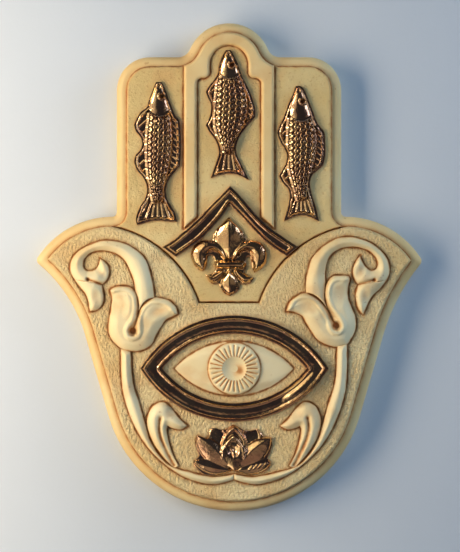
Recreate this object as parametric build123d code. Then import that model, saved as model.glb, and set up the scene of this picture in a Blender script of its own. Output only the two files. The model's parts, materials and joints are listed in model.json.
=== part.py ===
from build123d import *
import math
import os

# Ceramic hand plaque with applied relief. All sizes are in millimetres.
# X runs to the right, Z runs up, the wall face lies at Y = 0 and the relief faces -Y.
# Outlines are drawn flat, as (across, up), and raised towards the front from a depth.

# Outline of the hand, measured from the middle of its height
HAND_HEIGHT = 205.6
THUMB_SPREAD = 163.4
THUMB_TIP_HEIGHT = 2.4
THUMB_ARCH = 5.5
THUMB_TIP_RADIUS = 2.2
FINGERS_WIDTH = 94.6
FINGER_ROOT_HEIGHT = 21.2
FINGER_ROOT_RADIUS = 2.0
MIDDLE_FINGER_RADIUS = 17.8
SIDE_FINGER_DROP = 14.3
SIDE_FINGER_RADIUS = 14.0
FINGER_VALLEY_RADIUS = 5.5
PALM_AXIS = 2.2
PALM_RADIUS = 55.1
FLANK_ANGLE = 16.2
FLANK_LENGTH = 36.0

# Slab and panels
SLAB_THICKNESS = 9.0
RIM_WIDTH = 4.2
RIM_ROUNDING = 3.0
FINGER_PANEL_THICKNESS = 1.6
PALM_PANEL_THICKNESS = 2.8
SEAM = 0.35
SHOULDER_SPREAD = 102.0
SHOULDER_HEIGHT = 17.2
SHOULDER_ARCH = 7.0
SHOULDER_FOOT_WIDTH = 25.6
SHOULDER_FOOT_DROP = 15.1

# Arch round the middle finger
ARCH_OUTER_WIDTH = 38.0
ARCH_BAND = 5.5
ARCH_RISE = 1.6
ARCH_BEVEL = 0.5
ARCH_SHOULDER_DROP = 5.7
ARCH_SHOULDER_RADIUS = 2.4

# Chevron
CHEVRON_APEX_HEIGHT = 34.2
CHEVRON_INNER_APEX_HEIGHT = 26.0
CHEVRON_REACH = 34.0
CHEVRON_END_HEIGHT = 4.6
CHEVRON_INNER_REACH = 28.0
CHEVRON_INNER_END_HEIGHT = 0.6
CHEVRON_SAG = 1.6
CHEVRON_RISE = 3.2
CHEVRON_BEVEL = 1.1

# Fish, all from one mould, stretched from a drop under the top to a gap over what lies below
LEFT_FISH_OFFSET = 29.6
LEFT_FISH_DROP = 25.2
LEFT_FISH_GAP = 1.0
MIDDLE_FISH_OFFSET = 0.2
MIDDLE_FISH_DROP = 12.0
MIDDLE_FISH_GAP = 2.8
RIGHT_FISH_OFFSET = 29.4
RIGHT_FISH_DROP = 27.0
RIGHT_FISH_GAP = 2.2
FISH_SNOUT_WIDTH = 2.6
FISH_CHEEK_WIDTH = 10.4
FISH_BODY_WIDTH = 13.6
FISH_WAIST_WIDTH = 7.4
FISH_TAIL_WIDTH = 16.4
FISH_TAIL_NOTCH = 1.2
FISH_TAIL_SAG = 0.3
FISH_FIN_SPAN = 10.2
FISH_FIN_ROOT = 11.0
FISH_DORSAL_SPAN = 8.6
FISH_DORSAL_LENGTH = 27.6
FISH_DORSAL_RAMP = 6.6
FISH_BORDER = 0.9
FISH_PLATE = 1.2
FISH_RISE = 4.0
FISH_EDGE = 1.6
# Places along the fish, as shares of its length from the snout
FISH_CHEEK_PLACE = 0.18
FISH_BELLY_PLACE = 0.40
FISH_CROWN_PLACE = 0.45
FISH_WAIST_PLACE = 0.77
FISH_FIN_PLACES = (0.31, 0.58)
FISH_DORSAL_PLACE = 0.24

# Fleur-de-lis
FLEUR_BAND_HEIGHT = 1.0
FLEUR_BAND_WIDTH = 11.6
FLEUR_BAND_LENGTH = 3.8
FLEUR_BAND_ROUNDING = 1.5
FLEUR_OFFSET = 0.4
FLEUR_PETAL_LENGTH = 20.8
FLEUR_PETAL_WIDTH = 13.8
FLEUR_TAIL_LENGTH = 14.4
FLEUR_TAIL_WIDTH = 8.2
FLEUR_SIDE_TAIL_LENGTH = 12.6
FLEUR_SIDE_TAIL_WIDTH = 5.2
FLEUR_SIDE_TAIL_ANGLE = 122.0
FLEUR_RISE = 3.0

# Eye
EYE_GAP = 5.3
EYE_FRAME_LENGTH = 79.0
EYE_FRAME_WIDTH = 44.4
EYE_FRAME_BAND = 7.6
EYE_FRAME_RISE = 3.2
EYE_FRAME_BEVEL = 1.2
EYE_WHITE_LENGTH = 50.0
EYE_WHITE_WIDTH = 22.8
EYE_WHITE_RISE = 1.5
EYE_WHITE_BEVEL = 0.6
IRIS_DIAMETER = 22.0
IRIS_RISE = 2.0
IRIS_RIBS = 28
IRIS_RIB_START = 6.2
IRIS_GROOVE = 0.7
PUPIL_DIAMETER = 10.4
PUPIL_DEPTH = 1.5

# Lotus
LOTUS_RISE = 3.4
LOTUS_BACK_LENGTH = 17.6
LOTUS_BACK_WIDTH = 10.9
LOTUS_BACK_SHARE = 0.8
LOTUS_FRONT_LENGTH = 13.6
LOTUS_FRONT_WIDTH = 8.8
# Pairs of side petals: angle, length, width and share of the rise
LOTUS_SIDE_PETALS = ((33, 19.0, 6.4, 0.65), (48, 20.4, 6.9, 0.8), (80, 17.0, 6.6, 0.7))

# Scrolls, lilies, stems and leaves, drawn freehand on square grids
SPRIG_GRID = 10.0
CUSP_DROP = 44.0
CUSP_GAP = 1.2
LEFT_SCROLL_OFFSET = 57.6
RIGHT_SCROLL_OFFSET = 58.4
SCROLL_HEIGHT = 1.6
SCROLL_RISE = 2.8
LEFT_LILY_OFFSET = 40.3
LEFT_LILY_DROP = 26.9
RIGHT_LILY_OFFSET = 44.6
RIGHT_LILY_DROP = 24.4
RIGHT_LILY_TURN = 6.0
LILY_RISE = 3.8
LILY_FOOT = 8.5
LILY_THROAT_DIAMETER = 4.6
LILY_DISH_RADIUS = 8.0
LILY_DISH_DEPTH = 1.3
STEM_RISE = 2.4
STEM_GAP = 0.8
STEM_SQUARES = 5.04
LEAF_RISE = 2.8
LEAF_EDGE = 1.2
LEAF_LENGTH = 26.0
LEAF_WIDTH = 18.0
LEAF_EYE_GAP = 15.2
LEAF_SQUARES = 2.88
SECTION_SHARE = 0.9

# Hanger in the back
HANGER_HEIGHT = 54.0
RECESS_DEPTH = 5.6
RECESS_CORNER = 4.0
BAIL_WIRE = 2.0
BAIL_WIDTH = 24.0
BAIL_DROP = 18.0
BAIL_BEND = 2.5
BAIL_CLEARANCE = 0.3
LUG_LENGTH = 6.0
LUG_HEIGHT = 8.0
LUG_ROUNDING = 1.2
LUG_STANDBACK = 0.4
LUG_SIDE_GAP = 0.6
RECESS_MARGIN = 1.6

TOP = HAND_HEIGHT / 2
BOTTOM = -HAND_HEIGHT / 2
SIDE_TOP = TOP - SIDE_FINGER_DROP
FINGER_CENTRE = TOP - MIDDLE_FINGER_RADIUS
THUMB_TIP = (THUMB_SPREAD / 2, THUMB_TIP_HEIGHT)
FINGER_ROOT = (FINGERS_WIDTH / 2, FINGER_ROOT_HEIGHT)
FINGER_CORNER = (FINGERS_WIDTH / 2, SIDE_TOP)
FINGER_VALLEY = (math.sqrt(MIDDLE_FINGER_RADIUS ** 2 - (SIDE_TOP - FINGER_CENTRE) ** 2), SIDE_TOP)
ARCH_SHOULDER_HEIGHT = FINGER_CENTRE - ARCH_SHOULDER_DROP
EYE_HEIGHT = -SHOULDER_FOOT_DROP - EYE_GAP - EYE_FRAME_WIDTH / 2
CUSP_HEIGHT = EYE_HEIGHT - CUSP_DROP
LOTUS_BASE_HEIGHT = CUSP_HEIGHT + CUSP_GAP
STEM_GRID = (-LEFT_LILY_DROP - LILY_FOOT - STEM_GAP - CUSP_HEIGHT) / STEM_SQUARES
LEAF_GRID = (EYE_HEIGHT - LEAF_EYE_GAP - CUSP_HEIGHT) / LEAF_SQUARES
FINGER_FACE = SLAB_THICKNESS + FINGER_PANEL_THICKNESS
PALM_FACE = SLAB_THICKNESS + PALM_PANEL_THICKNESS
EVERYWHERE = 2 * HAND_HEIGHT


def front(depth):
    """Plane parallel to the wall, at a depth in front of it."""
    return Plane.XZ.offset(depth)


def raised(outline, depth, rise):
    """Solid of a flat outline that rises towards the front from a depth."""
    return extrude(front(depth) * outline, amount=rise)


def top_edges(solid):
    """Edges round the frontmost face of a solid."""
    return solid.faces().sort_by(Axis.Y)[0].edges()


def largest(sketch):
    """The largest face of a flat sketch that a cut left in pieces."""
    return Sketch() + sketch.faces().sort_by(SortBy.AREA)[-1]


def with_mirror(edges):
    """Edges of a right half together with their mirror image."""
    return edges + [mirror(edge, about=Plane.YZ) for edge in edges]


def rounded(sketch, corners, radius):
    """Outline with the corners nearest to the given points rounded on both sides of the axis."""
    points = [(side * x, y, 0) for x, y in corners for side in (1, -1)]
    return fillet([sketch.vertices().sort_by_distance(point)[0] for point in points], radius)


def half_hand(axis):
    """Edges of the hand's right half, with the palm's own axis a little to one side of the fingers'."""
    slope = math.radians(FLANK_ANGLE)
    heading = Vector(math.sin(slope), math.cos(slope))
    centre = Vector(axis, BOTTOM + PALM_RADIUS)
    flank_start = centre + Vector(heading.Y, -heading.X) * PALM_RADIUS
    flank_end = flank_start + heading * FLANK_LENGTH
    start = math.degrees(math.asin((SIDE_TOP - FINGER_CENTRE) / MIDDLE_FINGER_RADIUS))
    return [
        CenterArc(centre, PALM_RADIUS, -90, 90 - FLANK_ANGLE),
        Line(flank_start, flank_end),
        TangentArc(flank_end, THUMB_TIP, tangent=heading),
        SagittaArc(THUMB_TIP, FINGER_ROOT, -THUMB_ARCH),
        Line(FINGER_ROOT, FINGER_CORNER),
        Line(FINGER_CORNER, FINGER_VALLEY),
        CenterArc((0, FINGER_CENTRE), MIDDLE_FINGER_RADIUS, start, 90 - start),
    ]


def hand_outline():
    """Outer outline of the hand, from lines and arcs."""
    left = [mirror(edge, about=Plane.YZ) for edge in half_hand(-PALM_AXIS)]
    outline = make_face(half_hand(PALM_AXIS) + left)
    outline = rounded(outline, [THUMB_TIP], THUMB_TIP_RADIUS)
    outline = rounded(outline, [FINGER_ROOT], FINGER_ROOT_RADIUS)
    outline = rounded(outline, [FINGER_CORNER], SIDE_FINGER_RADIUS)
    return rounded(outline, [FINGER_VALLEY], FINGER_VALLEY_RADIUS)


def below_shoulders(gap):
    """Everything under the palm's shoulders, raised by a gap."""
    shoulder = (SHOULDER_SPREAD / 2, SHOULDER_HEIGHT)
    foot = (SHOULDER_FOOT_WIDTH / 2, -SHOULDER_FOOT_DROP)
    half = [
        Line((0, -SHOULDER_FOOT_DROP), foot),
        SagittaArc(foot, shoulder, SHOULDER_ARCH),
        Line(shoulder, (EVERYWHERE, SHOULDER_HEIGHT)),
        Line((EVERYWHERE, SHOULDER_HEIGHT), (EVERYWHERE, -EVERYWHERE)),
        Line((EVERYWHERE, -EVERYWHERE), (0, -EVERYWHERE)),
    ]
    region = make_face(with_mirror(half))
    return offset(region, amount=gap) if gap else region


def chevron_outline():
    """Roof-shaped bar, wide enough to be trimmed by the palm's shoulders."""
    apex = (0, CHEVRON_APEX_HEIGHT)
    end = (CHEVRON_REACH, CHEVRON_END_HEIGHT)
    inner_end = (CHEVRON_INNER_REACH, CHEVRON_INNER_END_HEIGHT)
    inner_apex = (0, CHEVRON_INNER_APEX_HEIGHT)
    half = [
        SagittaArc(apex, end, -CHEVRON_SAG),
        Line(end, inner_end),
        SagittaArc(inner_end, inner_apex, CHEVRON_SAG),
    ]
    return make_face(with_mirror(half))


def arch_opening():
    """Field inside the arch: straight sides, a shoulder and a round head."""
    side = ARCH_OUTER_WIDTH / 2 - ARCH_BAND
    head = MIDDLE_FINGER_RADIUS - RIM_WIDTH - ARCH_BAND
    field = Pos(0, ARCH_SHOULDER_HEIGHT) * Rectangle(2 * side, HAND_HEIGHT, align=(Align.CENTER, Align.MAX))
    neck_length = FINGER_CENTRE - ARCH_SHOULDER_HEIGHT
    neck = Pos(0, FINGER_CENTRE) * Rectangle(2 * head, neck_length, align=(Align.CENTER, Align.MAX))
    opening = field + neck + Pos(0, FINGER_CENTRE) * Circle(head)
    corners = [(side, ARCH_SHOULDER_HEIGHT), (head, ARCH_SHOULDER_HEIGHT)]
    return rounded(opening, corners, ARCH_SHOULDER_RADIUS)


def crown_radius(width, drop):
    """Radius of a crown that falls by a drop over half a width."""
    return (width ** 2 / 4 + drop ** 2) / (2 * drop)


def crowned(solid, middle, length, width, rise, edge):
    """Solid on the ground with its top rounded across its width and along its length."""
    across = crown_radius(width, rise - edge)
    along = crown_radius(length, rise - edge)
    ridge = Pos(middle[0], middle[1], rise - across) * Rot(X=90) * Cylinder(across, 2 * length)
    swell = Pos(middle[0], middle[1], rise - along) * Rot(Y=90) * Cylinder(along, 2 * length)
    return solid & ridge & swell


def petal(length, width, rise):
    """Leaf-shaped solid on the ground, from the origin upwards, highest along its middle."""
    sides = [
        SagittaArc((0, 0), (0, length), width / 2),
        SagittaArc((0, length), (0, 0), width / 2),
    ]
    body = extrude(make_face(sides), amount=rise)
    return crowned(body, (0, length / 2), length, width, rise, rise / 2)


def strand(stations, rise):
    """Tapering half-round strip on the ground through (across, up, half width) stations."""
    sections = []
    last = len(stations) - 1
    for index, (x, y, half) in enumerate(stations):
        before = stations[max(index - 1, 0)]
        after = stations[min(index + 1, last)]
        heading = Vector(after[0] - before[0], after[1] - before[1]).normalized()
        plane = Plane(origin=(x, y, 0), x_dir=(-heading.Y, heading.X, 0), z_dir=heading)
        arc = EllipticalCenterArc((0, 0), half, min(rise, SECTION_SHARE * half), start_angle=0, arc_size=180)
        sections.append(plane * make_face([arc, Line((-half, 0), (half, 0))]))
    return loft(sections)


def on_grid(*points, up=SPRIG_GRID):
    """Points of a freehand drawing in millimetres, from squares across and squares of their own height up."""
    pitch = (SPRIG_GRID, up, SPRIG_GRID)
    return [tuple(value * size for value, size in zip(point, pitch)) for point in points]


def seated(solid, depth, place=(0, 0), turn=0, flip=False):
    """Solid from the ground set on the front at a depth, turned and mirrored as asked."""
    shape = mirror(solid, about=Plane.YZ) if flip else solid
    return front(depth) * Pos(*place) * Rot(Z=turn) * shape


def slab(hand):
    """Backing slab with a rounded rim and the hanger's recess in its back."""
    body = raised(hand, 0, SLAB_THICKNESS)
    body = fillet(top_edges(body), RIM_ROUNDING)
    pin_end = BAIL_WIDTH / 2 + BAIL_BEND + LUG_SIDE_GAP + LUG_LENGTH
    width = 2 * (pin_end + RECESS_MARGIN)
    height = 2 * (BAIL_DROP + BAIL_WIRE / 2 + RECESS_MARGIN)
    recess = Pos(0, HANGER_HEIGHT) * RectangleRounded(width, height, RECESS_CORNER)
    return body - raised(recess, 0, RECESS_DEPTH)


def lug(side):
    """Pierced clay lug on the recess floor, on one side of the bail."""
    inner = BAIL_WIDTH / 2 + BAIL_BEND + LUG_SIDE_GAP
    x = side * (inner + LUG_LENGTH / 2)
    outline = Pos(x, HANGER_HEIGHT) * Rectangle(LUG_LENGTH, LUG_HEIGHT)
    block = raised(outline, LUG_STANDBACK, RECESS_DEPTH - LUG_STANDBACK)
    back_edges = block.faces().sort_by(Axis.Y)[-1].edges().filter_by(Axis.X)
    block = fillet(back_edges, LUG_ROUNDING)
    bore = Cylinder(BAIL_WIRE / 2 + BAIL_CLEARANCE, 2 * LUG_LENGTH)
    return block - Pos(x, -RECESS_DEPTH / 2, HANGER_HEIGHT) * Rot(Y=90) * bore


def bail():
    """Bent wire that hangs from the two lugs."""
    leg = BAIL_WIDTH / 2
    pin_end = leg + BAIL_BEND + LUG_SIDE_GAP + LUG_LENGTH
    bow = -(BAIL_DROP - leg)
    path = Wire([
        *FilletPolyline((-pin_end, 0), (-leg, 0), (-leg, bow), radius=BAIL_BEND).edges(),
        CenterArc((0, bow), leg, 180, 180),
        *FilletPolyline((leg, bow), (leg, 0), (pin_end, 0), radius=BAIL_BEND).edges(),
    ])
    wire = sweep(Plane(origin=path @ 0, z_dir=path % 0) * Circle(BAIL_WIRE / 2), path=path)
    return front(RECESS_DEPTH / 2) * Pos(0, HANGER_HEIGHT) * wire


def fish_body(length, inset):
    """Outline of body and tail, snout at the origin and tail downwards, drawn in by an inset."""
    snout = (FISH_SNOUT_WIDTH / 2 - inset / 2, -inset)
    tail = (FISH_TAIL_WIDTH / 2 - inset, inset - length)
    half = [
        Line((0, -inset), snout),
        Spline(
            snout,
            (FISH_CHEEK_WIDTH / 2 - inset, -length * FISH_CHEEK_PLACE),
            (FISH_BODY_WIDTH / 2 - inset, -length * FISH_BELLY_PLACE),
            (FISH_WAIST_WIDTH / 2 - inset, -length * FISH_WAIST_PLACE),
            tail,
        ),
        SagittaArc(tail, (0, tail[1] + FISH_TAIL_NOTCH), -FISH_TAIL_SAG),
    ]
    return make_face(with_mirror(half))


def fish_fins(length):
    """Two pointed fins on the left and the long fin of the back on the right."""
    fins = []
    for place in FISH_FIN_PLACES:
        tip = -length * place
        corners = [(-FISH_FIN_SPAN, tip), (0, tip + FISH_FIN_ROOT), (0, tip - FISH_FIN_ROOT)]
        fins.append(make_face(Polyline(*corners, close=True)))
    top = -length * FISH_DORSAL_PLACE
    bottom = top - FISH_DORSAL_LENGTH
    dorsal = [
        (0, top),
        (FISH_DORSAL_SPAN, top - FISH_DORSAL_RAMP),
        (FISH_DORSAL_SPAN, bottom + FISH_DORSAL_RAMP),
        (0, bottom),
    ]
    fins.append(make_face(Polyline(*dorsal, close=True)))
    return fins


def fish(length):
    """Flat border plate with fins and a rounded body on it."""
    outline = fish_body(length, 0)
    for fin in fish_fins(length):
        outline = outline + fin
    plate = extrude(outline, amount=FISH_PLATE)
    body = extrude(fish_body(length, FISH_BORDER), amount=FISH_RISE)
    crown = (0, -length * FISH_CROWN_PLACE)
    return plate + crowned(body, crown, length, FISH_BODY_WIDTH, FISH_RISE, FISH_EDGE)


def seated_fish(offset_x, drop, below):
    """Fish on the finger panel, from a drop under the top of the hand down to a height."""
    snout = TOP - drop
    return seated(fish(snout - below), FINGER_FACE, (offset_x, snout))


def fleur_curl():
    """Right side petal of the fleur-de-lis, which curls outwards and down, about the band."""
    stations = on_grid(
        (0.22, 0.06, 0.20), (0.44, 0.34, 0.22), (0.80, 0.66, 0.26), (1.20, 0.64, 0.29),
        (1.32, 0.18, 0.27), (1.14, -0.20, 0.18), (0.94, -0.34, 0.05),
    )
    return strand(stations, FLEUR_RISE)


def fleur():
    """Fleur-de-lis: three petals, a band and three tails, with the band at the origin."""
    band = RectangleRounded(FLEUR_BAND_WIDTH, FLEUR_BAND_LENGTH, FLEUR_BAND_ROUNDING)
    whole = extrude(band, amount=FLEUR_RISE)
    whole += Pos(0, -FLEUR_BAND_LENGTH / 2) * petal(FLEUR_PETAL_LENGTH, FLEUR_PETAL_WIDTH, FLEUR_RISE)
    whole += Rot(Z=180) * petal(FLEUR_TAIL_LENGTH, FLEUR_TAIL_WIDTH, FLEUR_RISE)
    tail = petal(FLEUR_SIDE_TAIL_LENGTH, FLEUR_SIDE_TAIL_WIDTH, FLEUR_RISE)
    for side in (Rot(Z=-FLEUR_SIDE_TAIL_ANGLE) * tail, fleur_curl()):
        whole += side
        whole += mirror(side, about=Plane.YZ)
    return whole


def almond(length, width, inset, rise, bevel):
    """Almond-shaped solid where two bevelled discs overlap, drawn in by an inset; a negative bevel flares."""
    full = crown_radius(length, width / 2)
    radius = full - inset
    wall = rise - abs(bevel)
    disc = extrude(Circle(radius), amount=wall)
    upright = (Align.CENTER, Align.CENTER, Align.MIN)
    disc += Pos(0, 0, wall) * Cone(radius, radius - bevel, abs(bevel), align=upright)
    shift = full - width / 2
    return Pos(0, shift) * disc & Pos(0, -shift) * disc


def eye_frame():
    """Almond ring with bevelled edges."""
    size = (EYE_FRAME_LENGTH, EYE_FRAME_WIDTH)
    opening = almond(*size, EYE_FRAME_BAND, EYE_FRAME_RISE, -EYE_FRAME_BEVEL)
    return almond(*size, 0, EYE_FRAME_RISE, EYE_FRAME_BEVEL) - opening


def eye_white():
    """Low almond plate with a bevelled edge, flat where the iris sits."""
    return almond(EYE_WHITE_LENGTH, EYE_WHITE_WIDTH, 0, EYE_WHITE_RISE, EYE_WHITE_BEVEL)


def iris():
    """Disc with radial grooves and a bowl for the pupil."""
    disc = extrude(Circle(IRIS_DIAMETER / 2), amount=IRIS_RISE)
    bowl_radius = crown_radius(PUPIL_DIAMETER, PUPIL_DEPTH)
    disc -= Pos(0, 0, IRIS_RISE - PUPIL_DEPTH + bowl_radius) * Sphere(bowl_radius)
    reach = IRIS_DIAMETER / 2 - IRIS_RIB_START
    cutter = Box(reach + IRIS_GROOVE, IRIS_GROOVE, IRIS_GROOVE)
    groove = Pos(IRIS_RIB_START + reach / 2, 0, IRIS_RISE) * Rot(X=45) * cutter
    for turn in range(IRIS_RIBS):
        disc -= Rot(Z=turn * 360 / IRIS_RIBS) * groove
    return disc


def lotus():
    """Lotus of pointed petals that spread from one base."""
    whole = petal(LOTUS_BACK_LENGTH, LOTUS_BACK_WIDTH, LOTUS_RISE * LOTUS_BACK_SHARE)
    for turn, length, width, share in LOTUS_SIDE_PETALS:
        side = petal(length, width, LOTUS_RISE * share)
        whole += Rot(Z=turn) * side
        whole += Rot(Z=-turn) * side
    return whole + petal(LOTUS_FRONT_LENGTH, LOTUS_FRONT_WIDTH, LOTUS_RISE)


def scroll():
    """Left volute: an arch that curls in on itself, about the middle of the curl."""
    stations = on_grid(
        (2.14, -0.92, 0.40), (2.04, -0.38, 0.39), (1.74, 0.16, 0.35), (1.22, 0.52, 0.28),
        (0.74, 0.66, 0.23), (0.21, 0.63, 0.19), (-0.32, 0.40, 0.21), (-0.62, -0.09, 0.27),
        (-0.48, -0.50, 0.29), (-0.02, -0.54, 0.21), (0.40, -0.46, 0.27), (0.53, -0.16, 0.22),
        (0.47, 0.07, 0.12), (0.35, 0.20, 0.03),
    )
    return strand(stations, SCROLL_RISE)


def scroll_leaf():
    """Leaf that hangs under the left volute, about the middle of the curl."""
    stations = on_grid(
        (-0.26, -0.98, 0.15), (0.08, -1.20, 0.31), (0.22, -1.54, 0.30),
        (0.17, -1.86, 0.19), (-0.02, -2.08, 0.04),
    )
    return strand(stations, SCROLL_RISE)


def lily_outline():
    """Left lily seen from the front, about its throat."""
    tip, notch, far_tip = on_grid((-0.97, 1.72), (0.25, 0.90), (1.89, 0.72))
    foot = (0, -LILY_FOOT)
    return make_face([
        Spline(tip, *on_grid((-0.45, 1.90), (0.08, 1.68)), notch),
        Spline(notch, *on_grid((0.60, 1.30), (1.25, 1.38)), far_tip),
        Spline(far_tip, *on_grid((1.28, 0.35), (0.85, -0.48)), foot),
        Spline(foot, *on_grid((-0.70, -0.58), (-1.02, 0.15), (-0.90, 1.10)), tip),
    ])


def lily():
    """Open lily with two dished petals and a throat."""
    body = extrude(lily_outline(), amount=LILY_RISE)
    for x, y in on_grid((-0.36, 1.00), (0.96, 0.66)):
        body -= Pos(x, y, LILY_RISE + LILY_DISH_RADIUS - LILY_DISH_DEPTH) * Sphere(LILY_DISH_RADIUS)
    return body - extrude(Circle(LILY_THROAT_DIAMETER / 2), amount=EVERYWHERE, both=True)


def stem():
    """Left stem from the lily's foot to the cusp under the lotus, about the cusp."""
    stations = on_grid(
        (-4.54, 5.04, 0.23), (-4.52, 4.27, 0.23), (-4.45, 3.64, 0.24), (-4.14, 2.49, 0.23),
        (-3.64, 1.36, 0.18), (-3.18, 0.76, 0.17), (-2.46, 0.20, 0.17), (-1.43, -0.26, 0.17),
        (-0.80, -0.32, 0.15), (-0.25, -0.21, 0.11), (-0.08, -0.12, 0.06),
        up=STEM_GRID,
    )
    return strand(stations, STEM_RISE)


def leaf():
    """Left hooked leaf beside the lotus, about the cusp."""
    base_left, base_right, crook, tip, middle = on_grid(
        (-2.58, 0.62), (-2.36, 0.54), (-3.08, 2.26), (-1.94, 1.98), (-2.90, 1.60), up=LEAF_GRID
    )
    back = on_grid((-3.32, 1.46), (-3.62, 2.28), (-3.30, 2.86), (-2.74, 2.88), (-2.26, 2.28), up=LEAF_GRID)
    outline = make_face([
        Spline(base_left, *back, tip),
        Spline(tip, *on_grid((-2.40, 1.84), (-2.84, 2.04), up=LEAF_GRID), crook),
        Spline(crook, *on_grid((-2.88, 1.38), up=LEAF_GRID), base_right),
        Line(base_right, base_left),
    ])
    return crowned(extrude(outline, amount=LEAF_RISE), middle, LEAF_LENGTH, LEAF_WIDTH, LEAF_RISE, LEAF_EDGE)


hand = hand_outline()
field = offset(hand, amount=-RIM_WIDTH)
palm_face = largest(field & below_shoulders(0))
finger_face = largest(field - below_shoulders(SEAM))
chevron_face = largest(chevron_outline() - below_shoulders(SEAM))
arch_strip = finger_face & Rectangle(ARCH_OUTER_WIDTH, EVERYWHERE)
arch_face = largest(arch_strip - arch_opening() - offset(chevron_outline(), amount=SEAM))
arch = raised(arch_face, FINGER_FACE, ARCH_RISE)
bar = raised(chevron_face, FINGER_FACE, CHEVRON_RISE)

parts = {
    "hand_slab": slab(hand),
    "finger_panel": raised(finger_face, SLAB_THICKNESS, FINGER_PANEL_THICKNESS),
    "palm_panel": raised(palm_face, SLAB_THICKNESS, PALM_PANEL_THICKNESS),
    "finger_arch": chamfer(top_edges(arch), ARCH_BEVEL),
    "chevron": chamfer(top_edges(bar), CHEVRON_BEVEL),
    "left_fish": seated_fish(-LEFT_FISH_OFFSET, LEFT_FISH_DROP, SHOULDER_HEIGHT + LEFT_FISH_GAP),
    "middle_fish": seated_fish(MIDDLE_FISH_OFFSET, MIDDLE_FISH_DROP, CHEVRON_APEX_HEIGHT + MIDDLE_FISH_GAP),
    "right_fish": seated_fish(RIGHT_FISH_OFFSET, RIGHT_FISH_DROP, SHOULDER_HEIGHT + RIGHT_FISH_GAP),
    "fleur_de_lis": seated(fleur(), FINGER_FACE, (FLEUR_OFFSET, FLEUR_BAND_HEIGHT)),
    "eye_frame": seated(eye_frame(), PALM_FACE, (PALM_AXIS, EYE_HEIGHT)),
    "eye_white": seated(eye_white(), PALM_FACE, (PALM_AXIS, EYE_HEIGHT)),
    "iris": seated(iris(), PALM_FACE + EYE_WHITE_RISE, (PALM_AXIS, EYE_HEIGHT)),
    "lotus": seated(lotus(), PALM_FACE, (PALM_AXIS, LOTUS_BASE_HEIGHT)),
}

for side, flip, scroll_x, throat, turn in (
    ("left", False, -LEFT_SCROLL_OFFSET, (-LEFT_LILY_OFFSET, -LEFT_LILY_DROP), 0),
    ("right", True, RIGHT_SCROLL_OFFSET, (RIGHT_LILY_OFFSET, -RIGHT_LILY_DROP), RIGHT_LILY_TURN),
):
    curl = (scroll_x, SCROLL_HEIGHT)
    cusp = (PALM_AXIS, CUSP_HEIGHT)
    parts[side + "_lily"] = seated(lily(), PALM_FACE, throat, turn, flip)
    parts[side + "_scroll"] = seated(scroll(), PALM_FACE, curl, 0, flip)
    parts[side + "_scroll_leaf"] = seated(scroll_leaf(), PALM_FACE, curl, 0, flip)
    parts[side + "_stem"] = seated(stem(), PALM_FACE, cusp, 0, flip)
    parts[side + "_leaf"] = seated(leaf(), PALM_FACE, cusp, 0, flip)
    parts[side + "_lug"] = lug(1 if flip else -1)

parts["bail"] = bail()

os.makedirs("parts", exist_ok=True)
for name, shape in parts.items():
    export_step(shape, f"parts/{name}.step")
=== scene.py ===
"""Hamsa wall plaque: a clay hand with lustre relief and a wire hanger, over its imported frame."""

from __future__ import annotations

import json
import logging
import math
from collections.abc import Callable
from dataclasses import dataclass, field
from enum import Enum

import bpy
import numpy as np
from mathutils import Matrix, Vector
from mathutils.geometry import delaunay_2d_cdt
from mathutils.kdtree import KDTree

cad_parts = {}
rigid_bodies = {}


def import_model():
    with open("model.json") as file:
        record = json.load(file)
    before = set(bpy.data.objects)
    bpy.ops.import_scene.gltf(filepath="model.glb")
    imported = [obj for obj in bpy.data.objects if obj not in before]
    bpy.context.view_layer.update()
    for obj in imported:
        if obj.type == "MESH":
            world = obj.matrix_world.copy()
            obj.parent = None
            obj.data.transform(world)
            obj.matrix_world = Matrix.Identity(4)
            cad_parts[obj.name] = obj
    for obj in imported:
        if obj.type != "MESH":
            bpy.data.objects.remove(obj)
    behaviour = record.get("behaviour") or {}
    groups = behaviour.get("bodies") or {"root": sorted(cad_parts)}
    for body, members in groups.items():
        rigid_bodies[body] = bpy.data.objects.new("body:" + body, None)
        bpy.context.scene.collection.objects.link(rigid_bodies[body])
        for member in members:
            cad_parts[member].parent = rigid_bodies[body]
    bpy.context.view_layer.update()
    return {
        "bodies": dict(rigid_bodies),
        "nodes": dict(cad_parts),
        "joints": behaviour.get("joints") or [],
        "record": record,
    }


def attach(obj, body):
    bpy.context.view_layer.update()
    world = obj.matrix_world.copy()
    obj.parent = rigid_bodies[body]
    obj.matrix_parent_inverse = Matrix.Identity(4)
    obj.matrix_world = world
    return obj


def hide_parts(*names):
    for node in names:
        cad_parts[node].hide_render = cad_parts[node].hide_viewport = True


log = logging.getLogger("hamsa_plaque")

Array = np.ndarray
Outlines = list[Array]
Rule = Callable[[Array], Array]
Spot = Range = tuple[float, float]
Points = list[Spot]
Triple = Colour = tuple[float, float, float]
Ramp = tuple[float, float, float, float]
Socket = bpy.types.NodeSocket
Material = bpy.types.Material

MM = 0.001
TINY = 1e-6

# Depths of the surfaces that carry the relief, in millimetres from the wall
SLAB_FACE = 9.0
FINGER_FACE = 10.6
PALM_FACE = 11.8
EYE_FACE = 13.3

# Clearances of the mesh points, the first two as shares of their pitch
EDGE_CLEARANCE = 0.45
LINE_CLEARANCE = 0.6
LINE_SLACK = 0.03
MERGE_REACH = 1e-5
LEVEL_SLACK = 0.01

FOOT_STAIN = 0.6
THINNEST = 0.2
SMOOTH_ANGLE = math.radians(50)
ARC_POINTS = 41


# ---------------------------------------------------------------- drawing

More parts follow.
